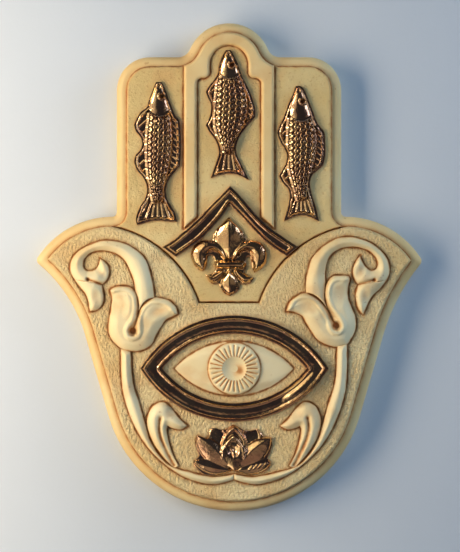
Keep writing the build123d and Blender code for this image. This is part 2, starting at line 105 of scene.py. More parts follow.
def smooth_run(points: Array, spacing: float, closed: bool) -> Array:
    """Even curve through points.

    Args:
        points: The points in millimetres.
        spacing: Longest step along the curve.
        closed: Whether the curve comes back to its start.

    Returns:
        Points along the curve, without the last one.
    """
    if closed:
        padded = np.vstack([points[-1:], points, points[:2]])
    else:
        before = 2 * points[:1] - points[1:2]
        after = 2 * points[-1:] - points[-2:-1]
        padded = np.vstack([before, points, after])
    out = []
    for p0, p1, p2, p3 in zip(padded, padded[1:], padded[2:], padded[3:]):
        t1 = math.sqrt(max(np.linalg.norm(p1 - p0), TINY))
        t2 = t1 + math.sqrt(max(np.linalg.norm(p2 - p1), TINY))
        t3 = t2 + math.sqrt(max(np.linalg.norm(p3 - p2), TINY))
        count = max(1, math.ceil(np.linalg.norm(p2 - p1) / spacing))
        t = np.linspace(t1, t2, count, endpoint=False)[:, None]
        a1 = (t1 - t) / t1 * p0 + t / t1 * p1
        a2 = (t2 - t) / (t2 - t1) * p1 + (t - t1) / (t2 - t1) * p2
        a3 = (t3 - t) / (t3 - t2) * p2 + (t - t2) / (t3 - t2) * p3
        b1 = (t2 - t) / t2 * a1 + t / t2 * a2
        b2 = (t3 - t) / (t3 - t1) * a2 + (t - t1) / (t3 - t1) * a3
        out.append((t2 - t) / (t2 - t1) * b1 + (t - t1) / (t2 - t1) * b2)
    return np.vstack(out)


def outline_through(points: Points, spacing: float = 0.4) -> Array:
    """Closed outline through points, in which a point given twice is a corner.

    Args:
        points: The points in order, in millimetres.
        spacing: Longest step along the outline.

    Returns:
        Points along the outline.
    """
    plain = [np.array(point, dtype=float) for point in points]
    corners = [i for i in range(len(plain)) if np.array_equal(plain[i], plain[i - 1])]
    if not corners:
        return smooth_run(np.array(plain), spacing, True)
    turned = plain[corners[0]:] + plain[:corners[0]]
    runs: list[Outlines] = [[turned[0]]]
    for before, point in zip(turned, turned[1:]):
        if np.array_equal(before, point):
            runs.append([point])
        else:
            runs[-1].append(point)
    if not np.array_equal(turned[-1], turned[0]):
        runs[-1].append(turned[0])
    return np.vstack([smooth_run(np.array(run), spacing, False) for run in runs if len(run) > 1])


def path_through(points: Points, spacing: float = 0.3) -> Array:
    """Open smooth path through points, with its last point."""
    return np.vstack([smooth_run(np.array(points, dtype=float), spacing, False), points[-1:]])


def evenly(loop: Array, spacing: float) -> Array:
    """Outline with extra points on its long straight stretches.

    Args:
        loop: Points of the closed outline.
        spacing: Longest step along it.

    Returns:
        Points along the outline.
    """
    out = []
    for a, b in zip(loop, np.roll(loop, -1, axis=0)):
        count = max(1, math.ceil(np.linalg.norm(b - a) / spacing))
        out.append(a + (b - a) * np.linspace(0, 1, count, endpoint=False)[:, None])
    return np.vstack(out)


def mirrored(points: Points, axis: float) -> Points:
    """Points turned over to the other side of an upright axis."""
    return [(2 * axis - x, y) for x, y in points]


def almond(centre: Spot, length: float, width: float, inset: float = 0.0) -> Points:
    """Almond between two arcs, drawn in by an inset.

    Args:
        centre: Its middle.
        length: From tip to tip before it is drawn in.
        width: Across the middle before it is drawn in.
        inset: How far the arcs are drawn in.

    Returns:
        Points of its outline, with both tips as corners.
    """
    full = (length ** 2 / 4 + width ** 2 / 4) / width
    shift = full - width / 2
    radius = full - inset
    reach = math.acos(shift / radius)
    turns = np.linspace(-reach, reach, ARC_POINTS)
    upper = [(radius * math.sin(a), radius * math.cos(a) - shift) for a in turns]
    lower = [(-x, -y) for x, y in upper]
    loop = [upper[0], *upper, lower[0], *lower[1:-1]]
    return [(centre[0] + x, centre[1] + y) for x, y in reversed(loop)]


# ---------------------------------------------------------------- measuring

def tree_of(points: Array) -> KDTree:
    """Search tree over flat points.

    Args:
        points: The points.

    Returns:
        The tree, ready to be searched.
    """
    tree = KDTree(len(points))
    for i, (x, y) in enumerate(points):
        tree.insert((x, y, 0), i)
    tree.balance()
    return tree


def gaps_to(tree: KDTree, points: Array) -> Array:
    """Distances from points to the nearest one in a search tree."""
    return np.array([tree.find((x, y, 0))[2] for x, y in points])


def away_from(points: Array, spot: Spot) -> Array:
    """Distances from points to one spot."""
    return np.hypot(*(points - np.array(spot)).T)


def nearest(points: Array, path: Array, closed: bool) -> tuple[Array, Array]:
    """Distance from points to a path, and where on the path that is.

    Args:
        points: Points to measure from.
        path: Closely set points of the path.
        closed: Whether the path comes back to its start.

    Returns:
        The distances, and the places on the path as steps along it.
    """
    tree = tree_of(path)
    index = np.array([tree.find((x, y, 0))[1] for x, y in points], dtype=int)
    best = np.full(len(points), np.inf)
    place = np.zeros(len(points))
    for step in (-1, 0):
        first = index + step
        if closed:
            first = first % len(path)
        else:
            first = np.clip(first, 0, len(path) - 2)
        run = path[(first + 1) % len(path)] - path[first]
        gap = points - path[first]
        share = np.clip((gap * run).sum(1) / np.maximum((run ** 2).sum(1), TINY ** 2), 0, 1)
        distance = np.hypot(*(gap - share[:, None] * run).T)
        closer = distance < best
        best = np.where(closer, distance, best)
        place = np.where(closer, first + share, place)
    return best, place


def inside(points: Array, outline: Array) -> Array:
    """Which points lie inside a closed outline.

    Args:
        points: Points to look at.
        outline: Points of the outline.

    Returns:
        True for each point inside.
    """
    order = np.argsort(points[:, 1], kind="stable")
    sorted_y = points[order, 1]
    hit = np.zeros(len(points), dtype=bool)
    for (x0, y0), (x1, y1) in zip(outline, np.roll(outline, -1, axis=0)):
        low, high = np.searchsorted(sorted_y, sorted((y0, y1)), side="left")
        rows = order[low:high]
        if len(rows):
            at = x0 + (points[rows, 1] - y0) * (x1 - x0) / (y1 - y0)
            hit[rows] ^= points[rows, 0] < at
    return hit


def within(points: Array, outlines: Outlines) -> Array:
    """Which points lie inside the first outline and outside the others.

    Args:
        points: Points to look at.
        outlines: The outer outline and its holes.

    Returns:
        True for each point within.
    """
    keep = inside(points, outlines[0])
    for hole in outlines[1:]:
        keep &= ~inside(points, hole)
    return keep


def edge_gap(points: Array, outlines: Outlines) -> Array:
    """Distances from points to the nearest of some closed outlines."""
    return np.min([nearest(points, outline, True)[0] for outline in outlines], axis=0)


def soft_step(value: Array, low: float, high: float) -> Array:
    """Smooth rise from 0 at a low value to 1 at a high one."""
    share = np.clip((value - low) / (high - low), 0, 1)
    return share * share * (3 - 2 * share)


def quarter_round(inset: Array, reach: float) -> Array:
    """Quarter-circle rise from 0 at an edge to 1 at a reach inside it."""
    return np.sqrt(1 - (1 - np.clip(inset / reach, 0, 1)) ** 2)


def hump(distance: Array, width: float) -> Array:
    """Bell-shaped share that is 1 in the middle."""
    return np.exp(-(distance / width) ** 2)


def fade(distance: Array, reach: float) -> Array:
    """Share that falls off from 1 at an edge."""
    return np.exp(-distance / reach)


def off_strand(place: Array) -> Array:
    """How far places lie from the nearest whole number."""
    return np.abs(place - np.round(place))


# ---------------------------------------------------------------- modelling tools

@dataclass
class Field:
    """Heights over a flat outline while it is modelled, in millimetres."""

    points: Array
    inset: Array
    height: Array


class Feature:
    """Something that is pressed into or laid on a relief."""

    def shape(self, ground: Field) -> Array:
        """Heights of the ground with this feature on it."""
        raise NotImplementedError

    def stain(self, points: Array) -> Array:
        """Share of stain that stays in this feature."""
        return np.zeros(len(points))


@dataclass(frozen=True)
class Bead(Feature):
    """Rounded rib laid along a path."""

    path: Points
    radius: float
    rise: float

    def shape(self, ground: Field) -> Array:
        """Heights with the rib on the ground."""
        distance, _ = nearest(ground.points, path_through(self.path), False)
        return ground.height + self.rise * np.sqrt(np.maximum(0, 1 - (distance / self.radius) ** 2))


@dataclass(frozen=True)
class Groove(Feature):
    """Rounded channel pressed along a path."""

    path: Points
    radius: float
    depth: float
    held_stain: float = 0.85

    def shape(self, ground: Field) -> Array:
        """Heights with the channel in the ground."""
        return ground.height - self.depth * self.trace(ground.points)

    def trace(self, points: Array) -> Array:
        """How deep in the channel points lie, from 0 to 1."""
        distance, _ = nearest(points, path_through(self.path), False)
        return hump(distance, self.radius)

    def stain(self, points: Array) -> Array:
        """Stain along the channel."""
        return self.held_stain * self.trace(points)


@dataclass(frozen=True)
class Dish(Feature):
    """Soft hollow, or a swelling where the depth is negative."""

    centre: Spot
    across: float
    along: float
    turn: float
    depth: float
    softness: float = 1.5
    held_stain: float = 0.38

    def shape(self, ground: Field) -> Array:
        """Heights with the hollow in the ground."""
        return ground.height - self.depth * self.trace(ground.points) ** self.softness

    def trace(self, points: Array) -> Array:
        """How deep in the hollow points lie.

        Args:
            points: Places on the plaque.

        Returns:
            Shares from 0 at its edge to 1 in its middle.
        """
        angle = math.radians(self.turn)
        gap = points - np.array(self.centre)
        u = (gap[:, 0] * math.cos(angle) + gap[:, 1] * math.sin(angle)) / self.across
        v = (gap[:, 1] * math.cos(angle) - gap[:, 0] * math.sin(angle)) / self.along
        return np.maximum(0, 1 - u * u - v * v)

    def stain(self, points: Array) -> Array:
        """Faint stain in the hollow."""
        return self.held_stain * self.trace(points) if self.depth > 0 else super().stain(points)


@dataclass(frozen=True)
class Bore(Feature):
    """Round hole down to a floor."""

    centre: Spot
    radius: float
    floor: float
    floor_share: float = 0.5
    stain_share: Range = (0.4, 1.05)

    def shape(self, ground: Field) -> Array:
        """Heights with the hole in the ground."""
        distance = away_from(ground.points, self.centre)
        share = soft_step(distance, self.radius * self.floor_share, self.radius)
        return self.floor + (ground.height - self.floor) * share

    def stain(self, points: Array) -> Array:
        """Stain down the hole."""
        low, high = (self.radius * share for share in self.stain_share)
        return 1 - soft_step(away_from(points, self.centre), low, high)


@dataclass(frozen=True)
class Petal(Feature):
    """Pointed petal with a ridge along its middle, laid over what is there.

    The belly is the place of the greatest width along the petal, and the rim the width of a
    raised edge.
    """

    base: Spot
    tip: Spot
    half_width: float
    low: float
    high: float
    belly: float = 0.5
    ridge_shift: float = 0.0
    rim: float = 0.0
    hollow: float = 0.0
    flank: float = 0.85
    arch: float = 0.25
    taper: float = 0.8
    rim_step: Range = (0.7, 1.3)

    def shape(self, ground: Field) -> Array:
        """Heights with the petal over the ground.

        Args:
            ground: What is there so far.

        Returns:
            The heights.
        """
        axis = np.array(self.tip) - np.array(self.base)
        length = np.linalg.norm(axis)
        axis = axis / length
        gap = ground.points - np.array(self.base)
        along = (gap @ axis) / length
        across = gap @ np.array([-axis[1], axis[0]])
        share = np.clip(along, 0, 1)
        warp = share ** (math.log(0.5) / math.log(self.belly))
        half = self.half_width * np.maximum(4 * warp * (1 - warp), 0) ** self.taper
        ridge = self.ridge_shift * half
        edge = np.where(across > ridge, half - ridge, half + ridge)
        slope = 1 - np.abs(across - ridge) / np.maximum(edge, TINY)
        crest = (self.high - self.low) * (1 - self.arch * (2 * share - 1) ** 2)
        body = self.low + crest * np.clip(slope, 0, 1) ** self.flank
        if self.rim:
            depth = np.clip(slope, 0, 1) * half
            body = body - self.hollow * soft_step(depth, *(self.rim * s for s in self.rim_step))
        on_petal = (along > 0) & (along < 1) & (slope > 0)
        return np.where(on_petal, np.maximum(ground.height, body), ground.height)


@dataclass(frozen=True)
class Curl(Feature):
    """Rounded strand of changing width, laid over what is there."""

    path: Points
    widths: list[float]
    low: float
    rise: float
    fullness: float = 2.0

    def shape(self, ground: Field) -> Array:
        """Heights with the strand over the ground.

        Args:
            ground: What is there so far.

        Returns:
            The heights.
        """
        line = path_through(self.path)
        distance, place = nearest(ground.points, line, False)
        share = place / (len(line) - 1)
        half = np.interp(share, np.linspace(0, 1, len(self.widths)), self.widths)
        body = self.low + self.rise * np.maximum(0, 1 - (distance / half) ** self.fullness)
        return np.where(distance < half, np.maximum(ground.height, body), ground.height)


def lattice(outlines: Outlines, pitch: float) -> Array:
    """Points of a triangular lattice within outlines, clear of their edges.

    Args:
        outlines: The outer outline and its holes.
        pitch: Distance between neighbouring points.

    Returns:
        The points.
    """
    low = outlines[0].min(0)
    high = outlines[0].max(0)
    rows = np.arange(low[1], high[1], pitch * math.sqrt(3) / 2)
    columns = np.arange(low[0], high[0], pitch)
    grid = np.array([(x + (i % 2) * pitch / 2, y) for i, y in enumerate(rows) for x in columns])
    grid = grid[within(grid, outlines)]
    return grid[edge_gap(grid, outlines) > EDGE_CLEARANCE * pitch]


def rings(outlines: Outlines, insets: tuple[float, ...], spacing: float) -> Array:
    """Points in lines that follow the outlines inside them.

    Args:
        outlines: The outer outline and its holes.
        insets: How far inside the outlines the lines run.
        spacing: Step along a line.

    Returns:
        The points.
    """
    spots = []
    reaches = []
    for outline in outlines:
        even = evenly(outline, spacing)
        along = np.roll(even, -1, axis=0) - np.roll(even, 1, axis=0)
        length = np.maximum(np.hypot(*along.T), TINY)
        across = np.column_stack([-along[:, 1], along[:, 0]]) / length[:, None]
        for inset in insets:
            for side in (inset, -inset):
                spots.append(even + side * across)
                reaches.append(np.full(len(even), inset))
    points = np.vstack(spots)
    clear = edge_gap(points, outlines) > np.concatenate(reaches) - LINE_SLACK
    return points[within(points, outlines) & clear]


def triangles_over(outlines: Outlines, inner: Array) -> tuple[Array, Array]:
    """Flat triangles within outlines, through points between them.

    Args:
        outlines: The outer outline and its holes.
        inner: The points between.

    Returns:
        The corners, and each triangle as three of their numbers, all turned the same way.
    """
    edges = []
    count = 0
    for outline in outlines:
        size = len(outline)
        edges += [(count + i, count + (i + 1) % size) for i in range(size)]
        count += size
    plan = [Vector(p) for p in np.vstack([*outlines, inner])]
    drawn = delaunay_2d_cdt(plan, edges, [], 1, MERGE_REACH, False)
    flat = np.array([tuple(v) for v in drawn[0]])
    faces = np.array([tuple(f) for f in drawn[2]])
    faces = faces[within(flat[faces].mean(1), outlines)]
    first, second, third = (flat[faces[:, i]] for i in range(3))
    turn = np.cross(second - first, third - first)
    faces = np.where((turn < 0)[:, None], faces[:, ::-1], faces)
    used = np.unique(faces)
    renumber = np.full(len(flat), -1)
    renumber[used] = np.arange(len(used))
    return flat[used], renumber[faces]


def pick(piece: bpy.types.Object) -> None:
    """Makes a piece the only selected and the active one."""
    bpy.ops.object.select_all(action="DESELECT")
    bpy.context.view_layer.objects.active = piece
    piece.select_set(True)


def closed_relief(name: str, outlines: Outlines, inner: Array, seat: float,
                  heights: Rule, stains: Rule) -> bpy.types.Object:
    """Closed solid with a modelled front, upright sides and a flat back.

    Args:
        name: Name of the piece.
        outlines: The outer outline and its holes.
        inner: Points inside the outline that carry the modelling.
        seat: Depth of the flat back.
        heights: Gives the height over the back at points.
        stains: Gives the share of stain at points.

    Returns:
        The piece.
    """
    flat, faces = triangles_over(outlines, inner)
    top = np.column_stack([flat[:, 0], -(seat + heights(flat)), flat[:, 1]])
    directed = {(int(a), int(b)) for f in faces for a, b in zip(f, (f[1], f[2], f[0]))}
    border = [(a, b) for a, b in directed if (b, a) not in directed]
    starts = sorted({a for a, _ in border})
    low_of = {a: len(flat) + i for i, a in enumerate(starts)}
    foot = np.array([(flat[a, 0], -seat, flat[a, 1]) for a in starts])
    walls = [(a, low_of[a], low_of[b], b) for a, b in border]
    corners = (np.vstack([top, foot]) * MM).tolist()
    shares = np.concatenate([stains(flat), np.full(len(foot), FOOT_STAIN)])
    mesh = bpy.data.meshes.new(name)
    mesh.from_pydata(corners, [], [tuple(map(int, f)) for f in faces] + walls)
    stain = mesh.attributes.new("stain", "FLOAT", "POINT")
    stain.data.foreach_set("value", shares.astype(np.float32))
    piece = bpy.data.objects.new(name, mesh)
    bpy.context.scene.collection.objects.link(piece)
    pick(piece)
    bpy.ops.object.mode_set(mode="EDIT")
    bpy.ops.mesh.select_mode(type="EDGE")
    bpy.ops.mesh.select_all(action="DESELECT")
    bpy.ops.mesh.select_non_manifold()
    bpy.ops.mesh.fill(use_beauty=False)
    bpy.ops.mesh.select_all(action="SELECT")
    bpy.ops.mesh.normals_make_consistent(inside=False)
    bpy.ops.object.mode_set(mode="OBJECT")
    bpy.ops.object.shade_smooth_by_angle(angle=SMOOTH_ANGLE)
    return piece


def dress(piece: bpy.types.Object, node: str, slot: str, material: Material) -> None:
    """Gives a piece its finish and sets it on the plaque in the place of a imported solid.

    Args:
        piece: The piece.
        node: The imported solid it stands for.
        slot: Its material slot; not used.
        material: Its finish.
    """
    piece.data.materials.append(material)
    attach(piece, "plaque")
    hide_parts(node)
    log.info("%s: %d faces", piece.name, len(piece.data.polygons))


def coat(node: bpy.types.Object, material: Material) -> None:
    """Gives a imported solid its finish."""
    node.data.materials.clear()
    node.data.materials.append(material)
    log.info("%s: %d faces", node.name, len(node.data.polygons))


def plan_of(node: bpy.types.Object, at_back: bool = False) -> Outlines:
    """Outlines of a solid's flat front or back face.

    Args:
        node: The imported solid.
        at_back: Whether the face towards the wall is meant.

    Returns:
        The loops in millimetres, the longest first.
    """
    mesh = node.data
    spots = np.array([tuple(v.co) for v in mesh.vertices]) / MM
    level = spots[:, 1].max() if at_back else spots[:, 1].min()
    names: dict[Spot, int] = {}
    places: Points = []
    after: set[tuple[int, int]] = set()
    for polygon in mesh.polygons:
        ring = [spots[i] for i in polygon.vertices]
        if any(abs(p[1] - level) > LEVEL_SLACK for p in ring):
            continue
        ids = []
        for p in ring:
            key = (round(float(p[0]), 3), round(float(p[2]), 3))
            if key not in names:
                names[key] = len(places)
                places.append(key)
            ids.append(names[key])
        after.update(zip(ids, ids[1:] + ids[:1]))
    following = {a: b for a, b in after if (b, a) not in after}
    loops = []
    while following:
        start, spot = following.popitem()
        loop = [start]
        while spot != start:
            loop.append(spot)
            spot = following.pop(spot)
        loops.append(np.array([places[i] for i in loop]))
    return sorted(loops, key=len, reverse=True)


# ---------------------------------------------------------------- finishes

class NodeSheet:
    """Node tree of one material while it is laid out."""

    def __init__(self, name: str) -> None:
        """Starts an empty material.

        Args:
            name: Its name.
        """
        self.material = bpy.data.materials.new(name)
        self.material.use_nodes = True
        self.tree = self.material.node_tree
        self.tree.nodes.clear()
        self.place = self.add("ShaderNodeTexCoord").outputs["Object"]

    def add(self, kind: str, values: dict[str | int, object] | None = None,
            **settings: object) -> bpy.types.Node:
        """New node.

        Args:
            kind: Its type.
            values: Inputs by name or number, each a value or another node's output.
            settings: Its own settings.

        Returns:
            The node.
        """
        node = self.tree.nodes.new(kind)
        for key, value in settings.items():
            setattr(node, key, value)
        for key, value in (values or {}).items():
            if isinstance(value, Socket):
                self.tree.links.new(value, node.inputs[key])
            else:
                node.inputs[key].default_value = value
        return node

    def noise(self, scale: float, detail: float = 2.0, stretch: Triple = (1, 1, 1)) -> Socket:
        """Noise over the object, in lumps per metre, drawn out where the stretch is below 1."""
        spot = self.add("ShaderNodeMapping", {"Vector": self.place, "Scale": stretch}).outputs[0]
        values = {"Vector": spot, "Scale": scale, "Detail": detail}
        return self.add("ShaderNodeTexNoise", values).outputs["Fac"]

    def ramp(self, value: Socket, low: float, high: float, start: float = 0.0,
             end: float = 1.0) -> Socket:
        """Value brought from one range to another, and held within it."""
        values = {0: value, 1: low, 2: high, 3: start, 4: end}
        return self.add("ShaderNodeMapRange", values, interpolation_type="SMOOTHSTEP").outputs[0]

    def mix(self, share: Socket, first: Colour | Socket, second: Colour | Socket) -> Socket:
        """Two colours mixed, from the first at a share of 0 to the second at 1."""
        full = [c if isinstance(c, Socket) else (*c, 1.0) for c in (first, second)]
        values = {0: share, 6: full[0], 7: full[1]}
        return self.add("ShaderNodeMix", values, data_type="RGBA").outputs[2]

    def work(self, operation: str, first: float | Socket, second: float | Socket) -> Socket:
        """Sum, product or the like of two values."""
        return self.add("ShaderNodeMath", {0: first, 1: second}, operation=operation).outputs[0]

    def shade(self, reach: float) -> Socket:
        """How open a place is, from 0 in a deep corner to 1 in the open."""
        return self.add("ShaderNodeAmbientOcclusion", {"Distance": reach}, samples=12).outputs["AO"]

    def bump(self, height: Socket, strength: float, depth: float,
             over: Socket | None = None) -> Socket:
        """Surface direction from a height.

        Args:
            height: The height, from 0 to 1.
            strength: How strongly it shows.
            depth: What a height of 1 is, in metres.
            over: An earlier surface direction that this one lies on.

        Returns:
            The surface direction.
        """
        values = {"Height": height, "Strength": strength, "Distance": depth}
        if over is not None:
            values["Normal"] = over
        return self.add("ShaderNodeBump", values).outputs[0]

    def close(self, surface: Socket) -> Material:
        """The material with that surface."""
        self.tree.links.new(surface, self.add("ShaderNodeOutputMaterial").inputs[0])
        return self.material

    def finish(self, values: dict[str | int, object]) -> Material:
        """The material with its main shader set to those values."""
        return self.close(self.add("ShaderNodeBsdfPrincipled", values).outputs[0])


class Ground(Enum):
    """How the face of the clay was worked."""

    SMOOTHED = "smoothed"
    PITTED = "pitted"
    STIPPLED = "stippled"


@dataclass(frozen=True)
class ClayFinish:
    """Pale fired clay, rubbed with a brown stain that stays in the corners.

    The scales are lumps per metre, the reaches and depths metres. A ramp brings its first two
    numbers to its last two.
    """

    name: str
    ground: Ground
    pale: Colour
    warm: Colour
    stain: Colour = (0.40, 0.155, 0.042)
    tint: Colour = (0.66, 0.36, 0.13)
    stain_reach: float = 1.5 * MM
    wash_reach: float = 5.0 * MM
    corner_range: Range = (0.34, 0.84)
    wash_ramp: Ramp = (0.55, 0.98, 0.62, 0.0)
    halo_ramp: Ramp = (0.06, 0.7, 0.0, 0.85)
    stain_range: Range = (0.42, 0.86)
    roughness: Range = (0.46, 0.72)
    mottle_scale: float = 38
    mottle_range: Range = (0.34, 0.66)
    patch_scale: float = 70
    patch_ramp: Ramp = (0.47, 0.71, 0.0, 0.38)
    rag_scale: float = 260
    rag_ramp: Ramp = (0.3, 0.7, 0.7, 1.2)
    grain_scale: float = 1500
    stroke_scale: float = 1250
    stroke_stretch: Triple = (1.0, 1.0, 0.62)
    stroke_depth: float = 1.35 * MM
    stroke_pits: Ramp = (0.28, 0.56, 0.26, 0.0)
    stroke_ridges: Range = (0.33, 0.62)
    pit_scale: float = 900
    pit_ramp: Ramp = (0.28, 0.4, 0.3, 0.0)
    lump_scale: float = 420
    lump_depth: float = 0.9 * MM
    speck_scale: float = 520
    speck_ramp: Ramp = (0.2, 0.27, 0.4, 0.0)
    speck_depth: float = 0.16 * MM
    wave_scale: float = 60
    wave_depth: float = 0.9 * MM

    def worked_face(self, sheet: NodeSheet) -> tuple[Socket, Socket, float]:
        """Marks of the tool on the clay.

        Args:
            sheet: The material.

        Returns:
            The stained pits, the height of the face, and what a height of 1 is in metres.
        """
        grain = sheet.noise(self.grain_scale, 3)
        if self.ground is Ground.STIPPLED:
            stroke = sheet.noise(self.stroke_scale, 3, self.stroke_stretch)
            pits = sheet.ramp(stroke, *self.stroke_pits)
            ridges = sheet.ramp(stroke, *self.stroke_ridges)
            height = sheet.work("ADD", ridges, sheet.work("MULTIPLY", grain, 0.3))
            return pits, height, self.stroke_depth
        if self.ground is Ground.PITTED:
            pits = sheet.ramp(sheet.noise(self.pit_scale, 2), *self.pit_ramp)
            lumps = sheet.noise(self.lump_scale, 3)
            height = sheet.work("ADD", lumps, sheet.work("MULTIPLY", grain, 0.6))
            return pits, sheet.work("SUBTRACT", height, pits), self.lump_depth
        pits = sheet.ramp(sheet.noise(self.speck_scale, 1), *self.speck_ramp)
        height = sheet.work("SUBTRACT", sheet.work("MULTIPLY", grain, 0.5), pits)
        return pits, height, self.speck_depth

    def material(self) -> Material:
        """The clay as a material.

        Returns:
            The material.
        """
        sheet = NodeSheet(self.name)
        mottle = sheet.ramp(sheet.noise(self.mottle_scale, 3), *self.mottle_range)
        colour = sheet.mix(mottle, self.pale, self.warm)
        pits, height, depth = self.worked_face(sheet)
        rag = sheet.ramp(sheet.noise(self.rag_scale, 3), *self.rag_ramp)
        painted = sheet.add("ShaderNodeAttribute", attribute_name="stain").outputs["Fac"]
        painted = sheet.work("MULTIPLY", painted, rag)
        corners = sheet.ramp(sheet.shade(self.stain_reach), *self.corner_range, 1.0, 0.0)
        washed = sheet.work("MAXIMUM", painted, sheet.work("MULTIPLY", corners, rag))
        wide = sheet.ramp(sheet.shade(self.wash_reach), *self.wash_ramp)
        wide = sheet.work("MULTIPLY", wide, rag)
        patches = sheet.ramp(sheet.noise(self.patch_scale, 4), *self.patch_ramp)
        halo = sheet.ramp(washed, *self.halo_ramp)
        wash = sheet.work("MAXIMUM", halo, sheet.work("MAXIMUM", wide, patches))
        colour = sheet.mix(wash, colour, self.tint)
        stained = sheet.work("MAXIMUM", pits, sheet.ramp(washed, *self.stain_range))
        waves = sheet.bump(sheet.noise(self.wave_scale, 4), 0.6, self.wave_depth)
        return sheet.finish({
            "Base Color": sheet.mix(stained, colour, self.stain),
            "Roughness": sheet.ramp(stained, 0, 1, *self.roughness),
            "Specular IOR Level": 0.45,
            "Normal": sheet.bump(height, 0.55, depth, waves),
        })


@dataclass(frozen=True)
class LustreFinish:
    """Dark metallic lustre glaze with gold, copper and lilac lights, and painted shade that darkens
    it in its corners.
    """

    name: str
    gold: Colour = (0.78, 0.55, 0.33)
    copper: Colour = (0.62, 0.39, 0.26)
    lilac: Colour = (0.58, 0.46, 0.48)
    # dark: colour of the painted shade in corners and creases
    dark: Colour = (0.075, 0.036, 0.020)
    patch_scale: float = 130
    patch_range: Range = (0.38, 0.62)
    cloud_scale: float = 75
    cloud_ramp: Ramp = (0.6, 0.85, 0.0, 0.3)
    cloud_stretch: Triple = (1.0, 1.7, 1.0)
    grain_scale: float = 900
    worn_ramp: Ramp = (0.3, 0.7, 0.12, 0.19)
    ripple_scale: float = 230
    ripple_depth: float = 0.5 * MM
    # Reach and ramp of the painted shade in the corners
    painted_shade_reach: float = 1.1 * MM
    painted_shade_ramp: Ramp = (0.34, 0.82, 1.0, 0.0)

    def material(self) -> Material:
        """The lustre as a material.

        Returns:
            The material.
        """
        sheet = NodeSheet(self.name)
        patch = sheet.ramp(sheet.noise(self.patch_scale, 2), *self.patch_range)
        cloud = sheet.noise(self.cloud_scale, 2, self.cloud_stretch)
        cloud = sheet.ramp(cloud, *self.cloud_ramp)
        colour = sheet.mix(cloud, sheet.mix(patch, self.gold, self.copper), self.lilac)
        # Painted shade: corners and creases go towards the dark colour and are made rougher
        corners = sheet.ramp(sheet.shade(self.painted_shade_reach), *self.painted_shade_ramp)
        grain = sheet.noise(self.grain_scale, 3)
        worn = sheet.ramp(grain, *self.worn_ramp)
        ripple = sheet.noise(self.ripple_scale, 3)
        ripple = sheet.work("ADD", ripple, sheet.work("MULTIPLY", grain, 0.03))
        return sheet.finish({
            "Base Color": sheet.mix(corners, colour, self.dark),
            "Metallic": 1.0,
            "Roughness": sheet.work("ADD", worn, sheet.work("MULTIPLY", corners, 0.12)),
            "Normal": sheet.bump(ripple, 0.75, self.ripple_depth),
        })


@dataclass(frozen=True)
class WireFinish:
    """Drawn brass wire, dulled in patches."""

    name: str
    bright: Colour = (0.72, 0.52, 0.24)
    dull: Colour = (0.38, 0.26, 0.12)
    tarnish_scale: float = 260
    tarnish_range: Range = (0.4, 0.68)
    roughness: Range = (0.26, 0.5)
    drawing_scale: float = 2400
    drawing_stretch: Triple = (0.15, 1.0, 1.0)
    drawing_depth: float = 0.05 * MM

    def material(self) -> Material:
        """The wire as a material.

        Returns:
            The material.
        """
        sheet = NodeSheet(self.name)
        tarnish = sheet.ramp(sheet.noise(self.tarnish_scale, 3), *self.tarnish_range)
        drawn = sheet.noise(self.drawing_scale, 2, self.drawing_stretch)
        return sheet.finish({
            "Base Color": sheet.mix(tarnish, self.bright, self.dull),
            "Metallic": 1.0,
            "Roughness": sheet.ramp(tarnish, 0, 1, *self.roughness),
            "Normal": sheet.bump(drawn, 0.2, self.drawing_depth),
        })


@dataclass(frozen=True)
class WallFinish:
    """Plain pale wall that lets the back of the plaque be seen from behind."""

    name: str = "pale_wall"
    pale: Colour = (0.63, 0.70, 0.81)
    shade: float = 0.96
    tone_scale: float = 9
    tone_range: Range = (0.3, 0.7)
    grain_scale: float = 600
    grain_depth: float = 0.2 * MM

    def material(self) -> Material:
        """The wall as a material.

        Returns:
            The material.
        """
        sheet = NodeSheet(self.name)
        tone = sheet.ramp(sheet.noise(self.tone_scale, 3), *self.tone_range)
        face = sheet.add("ShaderNodeBsdfDiffuse", {
            "Color": sheet.mix(tone, self.pale, tuple(c * self.shade for c in self.pale)),
            "Normal": sheet.bump(sheet.noise(self.grain_scale, 3), 0.15, self.grain_depth),
        }).outputs[0]
        clear = sheet.add("ShaderNodeBsdfTransparent").outputs[0]
        behind = sheet.add("ShaderNodeNewGeometry").outputs["Backfacing"]
        both = sheet.add("ShaderNodeMixShader", {0: behind, 1: face, 2: clear})
        return sheet.close(both.outputs[0])


@dataclass(frozen=True)
class Light:
    """Soft bright patch on the walls of the room, seen from the plaque.

    A stretch below 1 draws the patch out along that axis, and the spread is in degrees.
    """

    towards: Triple
    colour: Colour
    strength: float
    spread: Range
    stretch: Triple = (1, 1, 1)


